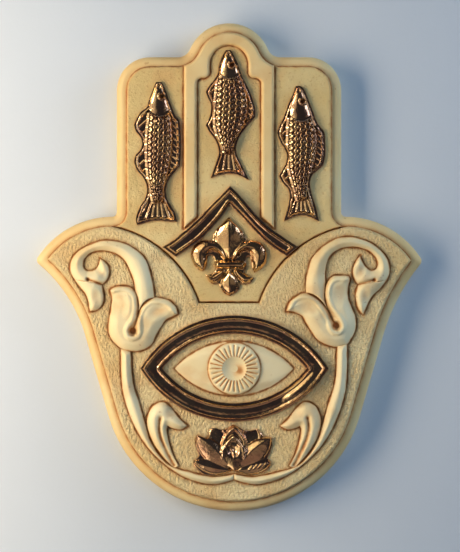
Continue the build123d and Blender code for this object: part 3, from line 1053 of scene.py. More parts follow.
@dataclass(frozen=True)
class RoomFinish:
    """Dark walls with a window, a lamp, a cool sky and a warm floor."""

    name: str = "room_walls"
    dark: Colour = (0.030, 0.031, 0.039)
    cloud_scale: float = 1.1
    cloud_ramp: Ramp = (0.32, 0.68, 0.5, 1.15)
    lights: tuple[Light, ...] = (
        Light((-0.90, -0.43, 0.08), (1.0, 0.86, 0.60), 1.8, (4, 12), (1, 1, 0.35)),
        Light((-0.72, -0.68, 0.05), (1.0, 0.86, 0.58), 0.70, (8, 27), (1, 1, 0.4)),
        Light((-0.78, -0.52, 0.34), (1.0, 0.90, 0.70), 24.0, (3, 8)),
        Light((-0.55, -0.58, 0.60), (1.0, 0.84, 0.50), 1.5, (7, 22)),
        Light((0.80, -0.46, 0.40), (0.78, 0.80, 1.0), 4.5, (3, 9)),
        Light((0.70, -0.70, 0.06), (1.0, 0.82, 0.60), 0.18, (4, 18)),
        Light((-0.60, -0.62, -0.50), (1.0, 0.78, 0.58), 1.7, (3, 16)),
        Light((0.08, -0.80, -0.60), (1.0, 0.70, 0.50), 0.30, (6, 28), (0.6, 1, 1)),
    )

    def material(self) -> Material:
        """The walls as a material.

        Returns:
            The material.
        """
        sheet = NodeSheet(self.name)
        cloud = sheet.ramp(sheet.noise(self.cloud_scale, 3), *self.cloud_ramp)
        glow = self.glow(sheet, self.dark, 1.0)
        for light in self.lights:
            values = {"Vector": sheet.place, "Scale": light.stretch}
            spot = sheet.add("ShaderNodeMapping", values).outputs[0]
            ray = sheet.add("ShaderNodeVectorMath", {0: spot}, operation="NORMALIZE").outputs[0]
            aim = Vector([a * b for a, b in zip(light.towards, light.stretch)]).normalized()
            facing = sheet.add("ShaderNodeVectorMath", {0: ray, 1: tuple(aim)},
                               operation="DOT_PRODUCT").outputs["Value"]
            full, none = (math.cos(math.radians(angle)) for angle in light.spread)
            share = sheet.ramp(facing, none, full, 0.0, light.strength)
            patch = self.glow(sheet, light.colour, sheet.work("MULTIPLY", share, cloud))
            glow = sheet.add("ShaderNodeAddShader", {0: glow, 1: patch}).outputs[0]
        return sheet.close(glow)

    def glow(self, sheet: NodeSheet, colour: Colour, strength: float | Socket) -> Socket:
        """Light of a colour and a strength."""
        values = {"Color": (*colour, 1.0), "Strength": strength}
        return sheet.add("ShaderNodeEmission", values).outputs[0]


class Palette:
    """Materials of the plaque, each made once."""

    def __init__(self) -> None:
        """Makes the materials."""
        self.rim = ClayFinish(
            "clay_rim", Ground.SMOOTHED, (0.79, 0.64, 0.35), (0.75, 0.55, 0.26),
            stain_reach=2.6 * MM, corner_range=(0.47, 0.97)).material()
        self.panel = ClayFinish(
            "clay_panel", Ground.PITTED, (0.72, 0.58, 0.29), (0.66, 0.49, 0.21)).material()
        self.palm = ClayFinish(
            "clay_palm", Ground.STIPPLED, (0.83, 0.69, 0.39), (0.80, 0.60, 0.29)).material()
        self.sprig = ClayFinish(
            "clay_sprig", Ground.SMOOTHED, (0.86, 0.76, 0.50), (0.82, 0.68, 0.40)).material()
        self.lustre = LustreFinish("lustre").material()
        self.gilt = LustreFinish(
            "gilt_lustre", (0.80, 0.56, 0.30), (0.68, 0.43, 0.25), (0.66, 0.49, 0.38)).material()
        self.wire = WireFinish("brass_wire").material()


# ---------------------------------------------------------------- relief pieces

@dataclass
class Relief:
    """One modelled piece of relief on the plaque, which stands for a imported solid.

    The form is the outline that the rounding follows, where that isn't the piece's own outline.
    """

    name: str
    node: str
    outline: Points
    seat: float
    slot: str
    pitch: float = 0.34
    features: list[Feature] = field(default_factory=list)
    form: Points | None = None
    smoothing: int = 0
    edge_lines: tuple[float, ...] = ()
    foot_stain: float = 0.8
    foot_reach: float = 0.45

    def base(self, ground: Field) -> Array:
        """Heights before any feature is on them."""
        raise NotImplementedError

    def outlines(self) -> Outlines:
        """The outer outline and the holes."""
        return [outline_through(self.outline, self.pitch)]

    def inset(self, points: Array) -> Array:
        """How far points lie from the edge that the rounding follows."""
        return nearest(points, outline_through(self.form or self.outline), True)[0]

    def modelled(self, points: Array) -> Array:
        """Heights of the finished relief.

        Args:
            points: Places on the plaque.

        Returns:
            The heights over the seat.
        """
        ground = Field(points, self.inset(points), np.zeros(len(points)))
        ground.height = self.base(ground)
        for feature in self.features:
            ground.height = feature.shape(ground)
        return np.maximum(ground.height, THINNEST)

    def stained(self, points: Array) -> Array:
        """Share of stain at points, which stays along the foot of the piece."""
        foot = self.foot_stain * fade(self.inset(points), self.foot_reach)
        return np.max([foot, *(feature.stain(points) for feature in self.features)], axis=0)

    def build(self, material: Material) -> bpy.types.Object:
        """Makes the piece and gives it its finish.

        Args:
            material: The finish.

        Returns:
            The piece.
        """
        outlines = self.outlines()
        inner = lattice(outlines, self.pitch)
        if self.edge_lines:
            lines = rings(outlines, self.edge_lines, self.pitch)
            clear = gaps_to(tree_of(lines), inner) > LINE_CLEARANCE * self.pitch
            inner = np.vstack([inner[clear], lines])
        piece = closed_relief(self.name, outlines, inner, self.seat, self.modelled, self.stained)
        if self.smoothing:
            self.soften(piece)
        dress(piece, self.node, self.slot, material)
        return piece

    def soften(self, piece: bpy.types.Object) -> None:
        """Rubs the modelled front smooth, as with a wet finger.

        Args:
            piece: The piece.
        """
        pick(piece)
        for polygon in piece.data.polygons:
            polygon.select = False
        off_the_seat = -(self.seat + THINNEST / 2) * MM
        for vertex in piece.data.vertices:
            vertex.select = vertex.co.y < off_the_seat
        bpy.ops.object.mode_set(mode="EDIT")
        bpy.ops.mesh.select_mode(type="VERT")
        bpy.ops.mesh.vertices_smooth(
            factor=0.5, repeat=self.smoothing, xaxis=False, yaxis=True, zaxis=False)
        bpy.ops.object.mode_set(mode="OBJECT")


@dataclass
class Sprig(Relief):
    """Rounded clay sprig that rises from a low wall to a soft crown."""

    wall: float = 0.7
    rise: float = 2.8
    reach: float = 3.4
    fullness: float = 1.6

    def base(self, ground: Field) -> Array:
        """Soft crown over the outline."""
        share = np.clip(ground.inset / self.reach, 0, 1)
        return self.wall + (self.rise - self.wall) * (1 - (1 - share) ** self.fullness)


@dataclass
class BorderedBar(Relief):
    """Lustre bar with a low border, a bead along each edge and a wide face between."""

    border: float = 0.9
    border_rise: float = 1.1
    edge_lift: float = 0.22
    edge_round: float = 0.4
    climb: float = 0.35
    bead: float = 0.65
    bead_rise: float = 2.9
    bead_spread: float = 0.8
    face_rise: float = 2.3
    crown: float = 0.8
    half_band: float = 3.8
    fall: float = 0.0
    hole: Points | None = None

    def outlines(self) -> Outlines:
        """The outer outline, and the opening of a frame."""
        holes = [outline_through(self.hole, self.pitch)] if self.hole else []
        return super().outlines() + holes

    def base(self, ground: Field) -> Array:
        """Border, bead and face, from each edge inwards.

        Args:
            ground: Places and how far they lie inside the outline.

        Returns:
            The heights.
        """
        inset = ground.inset
        fall = np.zeros(len(inset))
        if self.hole:
            opening = nearest(ground.points, outline_through(self.hole), True)[0]
            fall = self.fall * np.clip(2 * inset / (inset + opening) - 1, 0, 1) ** 2
            inset = np.minimum(inset, opening)
        border = self.border_rise * quarter_round(inset + self.edge_lift, self.edge_round)
        climb = soft_step(inset, self.border, self.border + self.climb)
        middle = np.clip((inset - self.border) / (self.half_band - self.border), 0, 1)
        face = self.face_rise + self.crown * (1 - (1 - middle) ** 2) - fall
        ridge = hump(inset - self.border - self.bead, self.bead * self.bead_spread)
        top = face + (self.bead_rise - self.face_rise) * ridge
        return border + (top - border) * climb


@dataclass
class PetalCluster(Relief):
    """Lustre ornament of petals and curls on a thin border."""

    border_rise: float = 0.8
    edge_round: float = 0.4
    edge_drop: float = 0.2

    def base(self, ground: Field) -> Array:
        """The thin border, rounded at its edge."""
        rounded = quarter_round(ground.inset, self.edge_round)
        return self.border_rise * (1 - self.edge_drop + self.edge_drop * rounded)


@dataclass
class EyeWhite(Relief):
    """Low domed almond."""

    wall: float = 0.3
    rise: float = 1.9
    centre: Spot = (2.2, -42.6)
    half_length: float = 25.0
    iris_radius: float = 11.0
    iris_stain: float = 0.6
    level_share: float = 0.36
    fall_power: float = 1.1
    foot_share: float = 0.7
    flank: float = 0.5

    def base(self, ground: Field) -> Array:
        """Low dome that falls away to both corners.

        Args:
            ground: Places and how far they lie inside the outline.

        Returns:
            The heights.
        """
        away = np.abs(ground.points[:, 0] - self.centre[0])
        away = np.clip(away / self.half_length, 0, 1)
        fall = np.clip((away - self.level_share) / (1 - self.level_share), 0, 1)
        crown = self.rise - (self.rise - self.wall) * fall ** self.fall_power
        return np.minimum(crown, self.wall * self.foot_share + self.flank * ground.inset)

    def stained(self, points: Array) -> Array:
        """Stain along the foot and round the iris."""
        away = np.abs(away_from(points, self.centre) - self.iris_radius)
        return np.maximum(super().stained(points), fade(away, self.iris_stain))


@dataclass
class Iris(Relief):
    """Round iris with radial strokes round a smooth bowl."""

    centre: Spot = (2.2, -42.6)
    radius: float = 11.0
    bowl: float = 5.4
    rise: float = 2.0
    edge_rise: float = 0.6
    bowl_floor: float = 0.3
    bowl_power: float = 2.2
    strokes: int = 28
    stroke_depth: float = 0.62
    stroke_width: float = 0.34
    stroke_stain: float = 0.85
    stroke_start: float = 4.9
    stroke_end: float = 10.5
    uneven: float = 0.45
    uneven_turn: float = 2.3
    start_blend: float = 0.3
    end_blend: float = 0.4
    pool_shift: Spot = (2.0, -0.9)
    pool_stain: float = 0.68
    pool_reach: float = 3.0

    def base(self, ground: Field) -> Array:
        """Sloping ring, its strokes and the bowl.

        Args:
            ground: Places and how far they lie inside the outline.

        Returns:
            The heights.
        """
        r = away_from(ground.points, self.centre)
        slope = quarter_round(self.radius - r, self.radius - self.bowl)
        ring = self.edge_rise + (self.rise - self.edge_rise) * slope
        ring = ring - self.stroke_depth * self.strokes_at(ground.points)
        share = np.clip(r / self.bowl, 0, 1)
        bowl = self.bowl_floor + (self.rise - self.bowl_floor) * share ** self.bowl_power
        return np.where(r < self.bowl, bowl, ring)

    def strokes_at(self, points: Array) -> Array:
        """How deep in a stroke points lie.

        Args:
            points: Places on the plaque.

        Returns:
            Shares from 0 beside the strokes to 1 in the middle of one.
        """
        r = away_from(points, self.centre)
        gap = points - np.array(self.centre)
        turn = np.arctan2(gap[:, 1], gap[:, 0]) * self.strokes / (2 * math.pi)
        away = off_strand(turn) * 2 * math.pi * r / self.strokes
        end = self.stroke_end - self.uneven * (1 + np.sin(np.round(turn) * self.uneven_turn))
        start = (self.stroke_start - self.start_blend, self.stroke_start + self.start_blend)
        along = soft_step(r, *start) * (1 - soft_step(r, end - self.end_blend, end))
        return along * hump(away, self.stroke_width)

    def stained(self, points: Array) -> Array:
        """Stain in the strokes and low in the bowl.

        Args:
            points: Places on the plaque.

        Returns:
            The shares of stain.
        """
        low_side = (self.centre[0] + self.pool_shift[0], self.centre[1] + self.pool_shift[1])
        pool = self.pool_stain * hump(away_from(points, low_side), self.pool_reach)
        strokes = self.stroke_stain * self.strokes_at(points)
        return np.max([super().stained(points), strokes, pool], axis=0)


@dataclass(frozen=True)
class FinRibs:
    """Ribs of a fin: the direction across them, their distance, rise and width."""

    across: Spot
    pitch: float
    rise: float
    width: float = 0.4

    def heights(self, points: Array) -> Array:
        """Rise of the ribs at places on the plaque."""
        strand = (points[:, 1] * self.across[1] + points[:, 0] * self.across[0]) / self.pitch
        return self.rise * hump(off_strand(strand) * self.pitch, self.width)


@dataclass
class Fish(Relief):
    """Lustre fish: border, ridged head, scaly body, plated belly, framed fins and ribbed tail.

    The belly and back are the sides of the body, drawn from the snout down to the root of the
    tail. Rises, depths and widths are in millimetres, and shares of a scale are of its column
    and its row.
    """

    belly: Points = field(default_factory=list)
    back: Points = field(default_factory=list)
    eye: Spot = (0.0, 0.0)
    gill: float = 64.0
    tail_root: float = 28.0
    plate_rise: float = 1.6
    body_rise: float = 3.2
    narrowest: float = 0.6

    border_rise: float = 0.9
    border_range: Range = (0.65, 1.0)
    edge_lift: float = 0.22
    edge_round: float = 0.35

    head_slope: float = 0.32
    eye_radius: float = 1.3
    eye_ring_rise: float = 0.45
    eye_ring_width: float = 0.32
    pupil_depth: float = 1.3
    pupil_width: float = 0.8
    mouth_depth: float = 1.2
    mouth_range: Range = (3.2, 0.6)
    mouth_share: float = 0.22
    gill_bow: float = 2.6
    gill_rise: float = 0.6
    gill_width: float = 0.45
    gill_sink: float = 0.5
    gill_reach: float = 1.4

    columns: int = 5
    row_pitch: float = 2.5
    scale_half: Range = (0.54, 0.55)
    scale_rise: float = 0.85
    scale_hollow: float = 0.42
    hollow_reach: float = 0.2
    scale_tilt: float = 0.2
    scale_sink: float = 0.45

    chain_places: Triple = (-1.1, 0.1, 0.8)
    chain_rises: Triple = (0.65, 1.3, 0.0)
    chain_shift: float = 0.15
    chain_half: float = 0.95
    chain_head: float = 2
    chain_pitch: float = 3.6
    notch_depth: float = 0.3
    notch_width: float = 0.4

    belly_ribs: FinRibs = FinRibs((-0.66, 0.75), 3.0, 0.45)
    back_ribs: FinRibs = FinRibs((0.6, 0.8), 2.1, 0.6)
    frame_inset: float = 1.3
    fin_sink: float = 0.2
    fin_frame_rise: float = 0.75
    fin_frame_width: float = 0.3

    tail_blend: float = 1.2
    fan_reach: float = 7
    fan_nearest: float = 0.5
    fan_step: float = 0.17
    tail_sink: float = 0.1
    tail_rib_rise: float = 0.6
    tail_rib_width: float = 0.45
    tail_frame_rise: float = 0.85
    tail_frame_width: float = 0.36

    def base(self, ground: Field) -> Array:
        """The whole fish, from its border inwards.

        Args:
            ground: Places and how far they lie inside the outline.

        Returns:
            The heights.
        """
        x, z = ground.points.T
        belly = self.side(self.belly, z)
        width = np.maximum(self.side(self.back, z) - belly, self.narrowest)
        share = (x - belly) / width
        plate = np.where(self.on_body(share), self.body(ground.points, share),
                         self.fins(ground, share))
        chain = self.belly_chain(ground.points)
        plate = np.maximum(plate, chain)
        tail = np.maximum(self.tail(ground), chain)
        low = soft_step(z, self.tail_root - self.tail_blend, self.tail_root + self.tail_blend)
        plate = tail + (plate - tail) * low
        border = self.border_rise * quarter_round(ground.inset + self.edge_lift, self.edge_round)
        climb = soft_step(ground.inset, *self.border_range)
        return border + (np.maximum(plate, border) - border) * climb

    def side(self, line: Points, z: Array) -> Array:
        """Where a side of the body lies at heights on the plaque."""
        path = path_through(line)[::-1]
        return np.interp(z, path[:, 1], path[:, 0])

    def on_body(self, share: Array) -> Array:
        """Which places lie between belly and back."""
        return (share > 0) & (share < 1)

    def body(self, points: Array, share: Array) -> Array:
        """Heights of the scaly body and the head, with the gill between.

        Args:
            points: Places on the plaque.
            share: Places across the body, from 0 at the belly to 1 at the back.

        Returns:
            The heights.
        """
        z = points[:, 1]
        arch = 2 * np.sqrt(np.clip(share * (1 - share), 0, None))
        trunk = self.plate_rise + (self.body_rise - self.plate_rise) * arch
        trunk = trunk + self.scales(share, z)
        gill = self.gill + self.gill_bow * (2 * share - 1) ** 2
        trunk = trunk - self.gill_sink * soft_step(z, gill - self.gill_reach, gill)
        cheek = self.gill_rise * hump(z - gill, self.gill_width)
        return np.where(z > gill, self.head(points, share), trunk) + cheek

    def head(self, points: Array, share: Array) -> Array:
        """Heights of the ridged head, with its eye and the notch of its mouth.

        Args:
            points: Places on the plaque.
            share: Places across the body.

        Returns:
            The heights.
        """
        z = points[:, 1]
        half = (self.side(self.back, z) - self.side(self.belly, z)) / 2
        ridge = self.plate_rise + self.head_slope * half * (1 - (2 * share - 1) ** 2)
        r = away_from(points, self.eye)
        ring = self.eye_ring_rise * hump(r - self.eye_radius, self.eye_ring_width)
        pupil = self.pupil_depth * hump(r, self.pupil_width)
        snout = self.belly[0][1]
        mouth = self.mouth_depth * soft_step(z, *(snout - reach for reach in self.mouth_range))
        return ridge + (ring - pupil) - mouth * hump(share - 0.5, self.mouth_share)

    def scales(self, share: Array, z: Array) -> Array:
        """Rise of the columns of long hollow scales.

        Args:
            share: Places across the body, from 0 at the belly to 1 at the back.
            z: Heights on the plaque.

        Returns:
            The rise.
        """
        column = np.floor(share * self.columns)
        across = (share * self.columns - column - 0.5) / self.scale_half[0]
        along = z - np.where(column % 2 == 0, 0.0, self.row_pitch / 2)
        along = along - np.round(along / self.row_pitch) * self.row_pitch
        along = along / (self.row_pitch * self.scale_half[1])
        reach = across ** 2 + along ** 2
        scale = self.scale_rise * np.sqrt(np.maximum(0, 1 - reach))
        scale = scale - self.scale_hollow * fade(reach, self.hollow_reach) - self.scale_tilt * along
        return np.where(self.on_body(share), np.where(reach < 1, scale, 0) - self.scale_sink, 0)

    def belly_chain(self, points: Array) -> Array:
        """Heights of the row of long plates from the gill down into the tail.

        Args:
            points: Places on the plaque.

        Returns:
            The heights, 0 beside the row.
        """
        x, z = points.T
        across = x - self.side(self.belly, z)
        roof = np.interp(across, self.chain_places, self.chain_rises)
        joint = np.abs((z / self.chain_pitch) % 1 - 0.5) * self.chain_pitch
        notch = 1 - self.notch_depth * hump(joint, self.notch_width)
        on_row = np.abs(across + self.chain_shift) < self.chain_half
        on_row = on_row & (z < self.gill + self.chain_head) & (z > self.belly[-1][1])
        return np.where(on_row, self.plate_rise + roof * notch, 0)

    def fins(self, ground: Field, share: Array) -> Array:
        """Heights of the ribbed and framed fins on the belly side and along the back.

        Args:
            ground: Places and how far they lie inside the outline.
            share: Places across the body.

        Returns:
            The heights.
        """
        points = ground.points
        ribs = np.where(share < 0, self.belly_ribs.heights(points), self.back_ribs.heights(points))
        frame = self.fin_frame_rise * hump(ground.inset - self.frame_inset, self.fin_frame_width)
        return self.border_rise - self.fin_sink + np.maximum(frame, ribs)

    def tail(self, ground: Field) -> Array:
        """Heights of the fan tail, ribbed from its root and framed along its end.

        Args:
            ground: Places and how far they lie inside the outline.

        Returns:
            The heights.
        """
        x, z = ground.points.T
        middle = (self.belly[-1][0] + self.back[-1][0]) / 2
        depth = np.maximum(self.tail_root + self.fan_reach - z, self.fan_nearest)
        strand = np.arctan2(x - middle, depth) / self.fan_step
        ribs = hump(off_strand(strand) * self.fan_step * depth, self.tail_rib_width)
        frame = hump(ground.inset - self.frame_inset, self.tail_frame_width)
        rise = np.maximum(self.tail_rib_rise * ribs, self.tail_frame_rise * frame)
        return self.border_rise - self.tail_sink + rise


# ---------------------------------------------------------------- outlines in millimetres
# A point given twice is a corner.

LEFT_FISH = [
    (-30.7, 77.7), (-30.7, 77.7), (-28.1, 77.7), (-28.1, 77.7), (-26.5, 73.9), (-25.2, 70.1),
    (-23.9, 66.8), (-22.7, 63.8), (-21, 61.7), (-20.4, 57.5), (-20.2, 50), (-20.6, 42.4),
    (-20.6, 42.4), (-23.9, 38.6), (-25.6, 35.7), (-26.5, 32.3), (-26, 28.6), (-24.4, 25.6),
    (-22.7, 22.7), (-21.8, 19.1), (-21.8, 19.1), (-24.8, 19.1), (-29, 19.5), (-33.2, 19.1),
    (-38.6, 17.6), (-38.6, 17.6), (-39.1, 20.2), (-37.4, 25.2), (-35.3, 28.6), (-34.4, 31.9),
    (-34.9, 35.3), (-36.5, 38.2), (-38.6, 40.7), (-39.9, 44.1), (-39.9, 44.1), (-39.1, 47),
    (-37, 49.6), (-36.5, 52.5), (-37.4, 55), (-39.1, 57.1), (-39.9, 59.6), (-39.9, 59.6),
    (-38.6, 62.6), (-37, 65.1), (-34.4, 67.2), (-33.6, 70.1), (-32.3, 73.5),
]
LEFT_FISH_BELLY = [
    (-30.2, 77.2), (-32.0, 72.5), (-33.2, 68.5), (-33.4, 63.8), (-34.2, 55.4), (-34.4, 48.1),
    (-34.0, 40.7), (-33.0, 33.4), (-31.5, 26.5),
]
LEFT_FISH_BACK = [
    (-28.6, 77.2), (-27.0, 72.5), (-25.9, 68.8), (-24.4, 62.8), (-23.7, 55.4), (-24.0, 48.1),
    (-25.3, 40.7), (-26.9, 34.4), (-27.8, 26.5),
]
MIDDLE_FISH = [
    (-1.3, 91.1), (-1.3, 91.1), (0.8, 91.1), (0.8, 91.1), (3.4, 86.1), (4.6, 82.7), (5.9, 79.4),
    (8.4, 74.3), (10.1, 69.7), (11.1, 65.9), (10.9, 63), (10.9, 63), (8.8, 60.5), (6.3, 57.5),
    (4.2, 54.2), (2.9, 50), (3.4, 47), (5, 43.3), (8.4, 36.5), (8.4, 36.5), (3.4, 38.9), (0, 39.3),
    (-2.9, 38.9), (-7.6, 37.4), (-7.6, 37.4), (-5, 44.9), (-4.2, 47.9), (-4.6, 50.8), (-6.3, 54.2),
    (-8.4, 57.1), (-9.7, 59.6), (-9.7, 59.6), (-8.4, 62.2), (-7.6, 65.1), (-7.6, 68.5), (-8.8, 71),
    (-9.7, 73.5), (-9.7, 73.5), (-8.4, 76), (-6.3, 78.5), (-4.6, 81.5), (-4.2, 84.4), (-2.9, 88.2),
]
MIDDLE_FISH_BELLY = [
    (-1.0, 90.6), (-2.6, 86.0), (-3.8, 82.5), (-4.6, 79.6), (-5.3, 72.2), (-5.9, 64.9),
    (-5.6, 58.6), (-4.0, 53.3), (-1.6, 47.6),
]
MIDDLE_FISH_BACK = [
    (0.5, 90.6), (2.2, 86.5), (3.4, 83.4), (5.0, 79.6), (7.3, 73.3), (8.0, 68.0), (7.2, 61.7),
    (4.9, 56.5), (2.0, 47.6),
]
RIGHT_FISH = [
    (28.1, 76), (28.1, 76), (30, 76), (30, 76), (31.1, 75), (32.8, 71.8), (34, 68.5), (35.3, 65.1),
    (36.5, 61.7), (38.2, 58.8), (39.9, 56.7), (40.3, 53.3), (40.5, 50), (40.3, 46.2), (39.5, 42.8),
    (39.5, 42.8), (37.4, 40.7), (34.9, 38.6), (34, 35.3), (34.4, 32.3), (35.3, 28.6), (36.5, 24.8),
    (37.8, 19.3), (37.8, 19.3), (34.9, 20.6), (31.5, 21.8), (29, 21.6), (23.1, 19.3), (23.1, 19.3),
    (25.2, 26.9), (25.6, 29.8), (24.8, 32.8), (22.7, 35.3), (21, 38.2), (21, 38.2), (22.7, 41.2),
    (23.9, 43.7), (24.4, 47), (23.1, 50), (21.4, 52.9), (20.2, 56.3), (20.2, 56.3), (21.4, 59.6),
    (22.7, 62.2), (23.9, 65.5), (25.2, 68.9), (26.9, 72.7),
]
RIGHT_FISH_BELLY = [
    (28.4, 75.6), (27.2, 71.5), (26.0, 67.5), (25.1, 61.7), (24.8, 53.3), (24.8, 48.1),
    (25.4, 40.7), (27.1, 34.4), (28.8, 27.6),
]
RIGHT_FISH_BACK = [
    (29.8, 75.6), (31.6, 71.5), (33.0, 67.6), (35.2, 62.0), (37.0, 55.4), (36.8, 49.1),
    (35.4, 41.8), (33.6, 35.5), (32.4, 27.6),
]
CHEVRON = [
    (0.4, 34), (0.4, 34), (4.6, 29.8), (8.8, 24.8), (13, 20.2), (17.2, 16.4), (21.4, 13.4),
    (29, 8.4), (29, 8.4), (24.4, 4.6), (24.4, 4.6), (20.2, 7.1), (15.1, 10.9), (10.9, 15.1),
    (6.7, 19.7), (0.4, 26.2), (0.4, 26.2), (-3.8, 20.2), (-8, 15.5), (-12.2, 11.3), (-16.4, 8.2),
    (-22.3, 4.2), (-22.3, 4.2), (-28.1, 8.4), (-28.1, 8.4), (-23.9, 10.9), (-19.7, 14.3),
    (-12.2, 21), (-8, 25.6), (-3.8, 29.8),
]
FLEUR = [
    (0, 21), (0, 21), (3, 17.6), (5.9, 14.5), (7.2, 11.3), (7, 10), (7, 10), (8.8, 11.1),
    (12, 10.8), (14.6, 8.7), (15.8, 5.5), (15.6, 2.4), (14.1, -0.2), (10.7, -2.4), (10.7, -2.4),
    (9.7, 0.3), (9.3, 2.9), (8.6, 4.4), (7.5, 4), (7.2, 1.9), (7.2, -0.8), (6.2, -2.1), (6.2, -2.1),
    (7.8, -3.4), (10.5, -4.6), (10.5, -4.6), (9.1, -6.8), (6.7, -7.3), (4.6, -6.8), (4.6, -6.8),
    (4.4, -9.2), (2.5, -11), (0.2, -12.2), (0.2, -12.2), (-2.2, -10.7), (-3.8, -8.1), (-4.3, -7.1),
    (-4.3, -7.1), (-6.4, -7.3), (-8.5, -5.7), (-9.5, -3.4), (-9.5, -3.4), (-6.9, -2.6),
    (-5.6, -1.5), (-5.9, 0.3), (-6, 2.9), (-6.4, 4.2), (-8, 5), (-9, 3.7), (-9.3, 1.3), (-10.1, -1),
    (-11.4, -1.7), (-11.4, -1.7), (-13.5, -0.5), (-15.3, 2.4), (-15.9, 5), (-15.2, 7.9),
    (-13.2, 10), (-10.6, 11.2), (-8, 11.2), (-6.7, 10.3), (-6.7, 10.3), (-6.7, 12.4), (-5.4, 15.5),
    (-2.7, 18.4),
]
LOTUS = [
    (-14.9, -81.5), (-14.9, -81.5), (-12.6, -79), (-12.6, -79), (-13.9, -75.2), (-14.1, -71.8),
    (-13.2, -70.3), (-13.2, -70.3), (-9, -72), (-9, -72), (-8.4, -68), (-8.4, -68), (-5.5, -67.6),
    (-2.7, -68.7), (-2.7, -68.7), (0, -67), (2, -66.1), (2, -66.1), (3.8, -67), (6.3, -68.7),
    (6.3, -68.7), (8.8, -68.7), (12.4, -68), (12.4, -68), (14.5, -71), (14.5, -71), (17.6, -71.4),
    (17.6, -71.4), (18.1, -74.3), (17, -78.1), (16, -80.2), (16, -80.2), (17.8, -81.9),
    (17.8, -81.9), (16.8, -84.4), (14.3, -86.3), (10.9, -86.9), (7.6, -86.9), (4.2, -86.3),
    (1.5, -85.5), (1.5, -85.5), (-1.7, -86.5), (-5.9, -87.4), (-10.1, -87.4), (-13, -85.3),
    (-14.7, -83.2),
]
LEFT_SCROLL = [
    (-31.3, -12.7), (-31.3, -12.7), (-31.9, -7.6), (-34, 0.8), (-36.1, 4.6), (-41.6, 8.8),
    (-45.8, 10.5), (-50, 11.1), (-54.2, 10.9), (-58.4, 9.4), (-62.6, 7.1), (-65.5, 4.2),
    (-66.6, 0.8), (-66.4, -2.1), (-65, -5), (-65, -5), (-62.6, -5.6), (-60.1, -6), (-56.3, -6.7),
    (-53.3, -7.4), (-53.3, -7.4), (-51.2, -5.5), (-50.2, -2.5), (-50.6, 0.4), (-52.1, 2.1),
    (-54.2, 3.6), (-54.2, 3.6), (-54.6, 1.3), (-55.9, -0.8), (-58, -1.7), (-60.1, -1.3),
    (-61.1, 0.4), (-60.9, 2.9), (-59.2, 5), (-56.3, 6.5), (-52.5, 6.9), (-48.7, 6.1), (-45.8, 4.6),
    (-43.3, 2.1), (-41.6, -1.3), (-40.3, -4.6), (-39.7, -7.4), (-39.4, -10.2), (-39.4, -10.2),
    (-38.2, -12.9), (-37.7, -16.3), (-37.8, -18.4), (-37.8, -18.4), (-36.5, -15.9), (-34.4, -13.8),
]
LEFT_SCROLL_LEAF = [
    (-65, -5), (-65, -5), (-62.6, -8.4), (-60.5, -10.9), (-59.2, -13.9), (-58.4, -18.7),
    (-58.4, -18.7), (-55.4, -18.1), (-53.3, -16), (-52.5, -13), (-52.9, -9.7), (-53.3, -7.4),
    (-53.3, -7.4), (-56.3, -6.7), (-60.1, -6), (-62.6, -5.6),
]
LEFT_SCROLL_FORM = [
    (-31.3, -24), (-31.3, -24), *LEFT_SCROLL[1:14], (-64.7, -5.5), *LEFT_SCROLL_LEAF[2:11],
    (-53.3, -7.6), (-53.3, -7.6), *LEFT_SCROLL[21:42], (-39.4, -24), (-39.4, -24),
]
RIGHT_SCROLL = [
    (32.3, -10.9), (32.3, -10.9), (32.3, -5.5), (33.2, -1.3), (34.4, 2.9), (38.2, 7.6),
    (41.6, 10.1), (45.4, 12), (48.7, 12.6), (51.7, 12.6), (55.9, 11.5), (60.1, 9.7), (63.4, 7.1),
    (65.9, 4.2), (67.2, 0.8), (67.2, -2.9), (66.2, -5.5), (66.2, -5.5), (64.3, -5.9), (60.9, -6.4),
    (57.1, -6.9), (54.2, -7.4), (54.2, -7.4), (52.5, -5), (51.9, -1.7), (52.9, 1.7), (55, 5),
    (55, 5), (55.9, 2.5), (57.5, 0), (59.6, -1.5), (61.7, -0.8), (62.4, 1.3), (61.3, 4.2),
    (59.2, 6.3), (55.9, 7.8), (50.8, 8.4), (46.6, 7.6), (43.3, 5.5), (41.2, 2.1), (40.3, -2.1),
    (40.4, -5.5), (40.3, -8.8), (40.3, -8.8), (39.9, -12.2), (40.7, -16), (42.4, -19.7),
    (42.7, -21.2), (42.7, -21.2), (41.6, -18.4), (39.5, -15), (37, -12.5), (34, -11),
]
RIGHT_SCROLL_LEAF = [
    (66.2, -5.5), (66.2, -5.5), (63.4, -9.2), (60.5, -11.8), (58.4, -15.1), (56.3, -20.2),
    (56.3, -20.2), (54.2, -17.6), (53.3, -13.9), (53.3, -10.5), (54.2, -7.4), (54.2, -7.4),
    (57.1, -6.9), (60.9, -6.4), (64.3, -5.9),
]
RIGHT_SCROLL_FORM = [
    (32.3, -26), (32.3, -26), *RIGHT_SCROLL[2:16], (65.9, -5.9), *RIGHT_SCROLL_LEAF[2:10],
    (54.2, -7.6), (54.2, -7.6), *RIGHT_SCROLL[23:42], (42.7, -26), (42.7, -26),
]
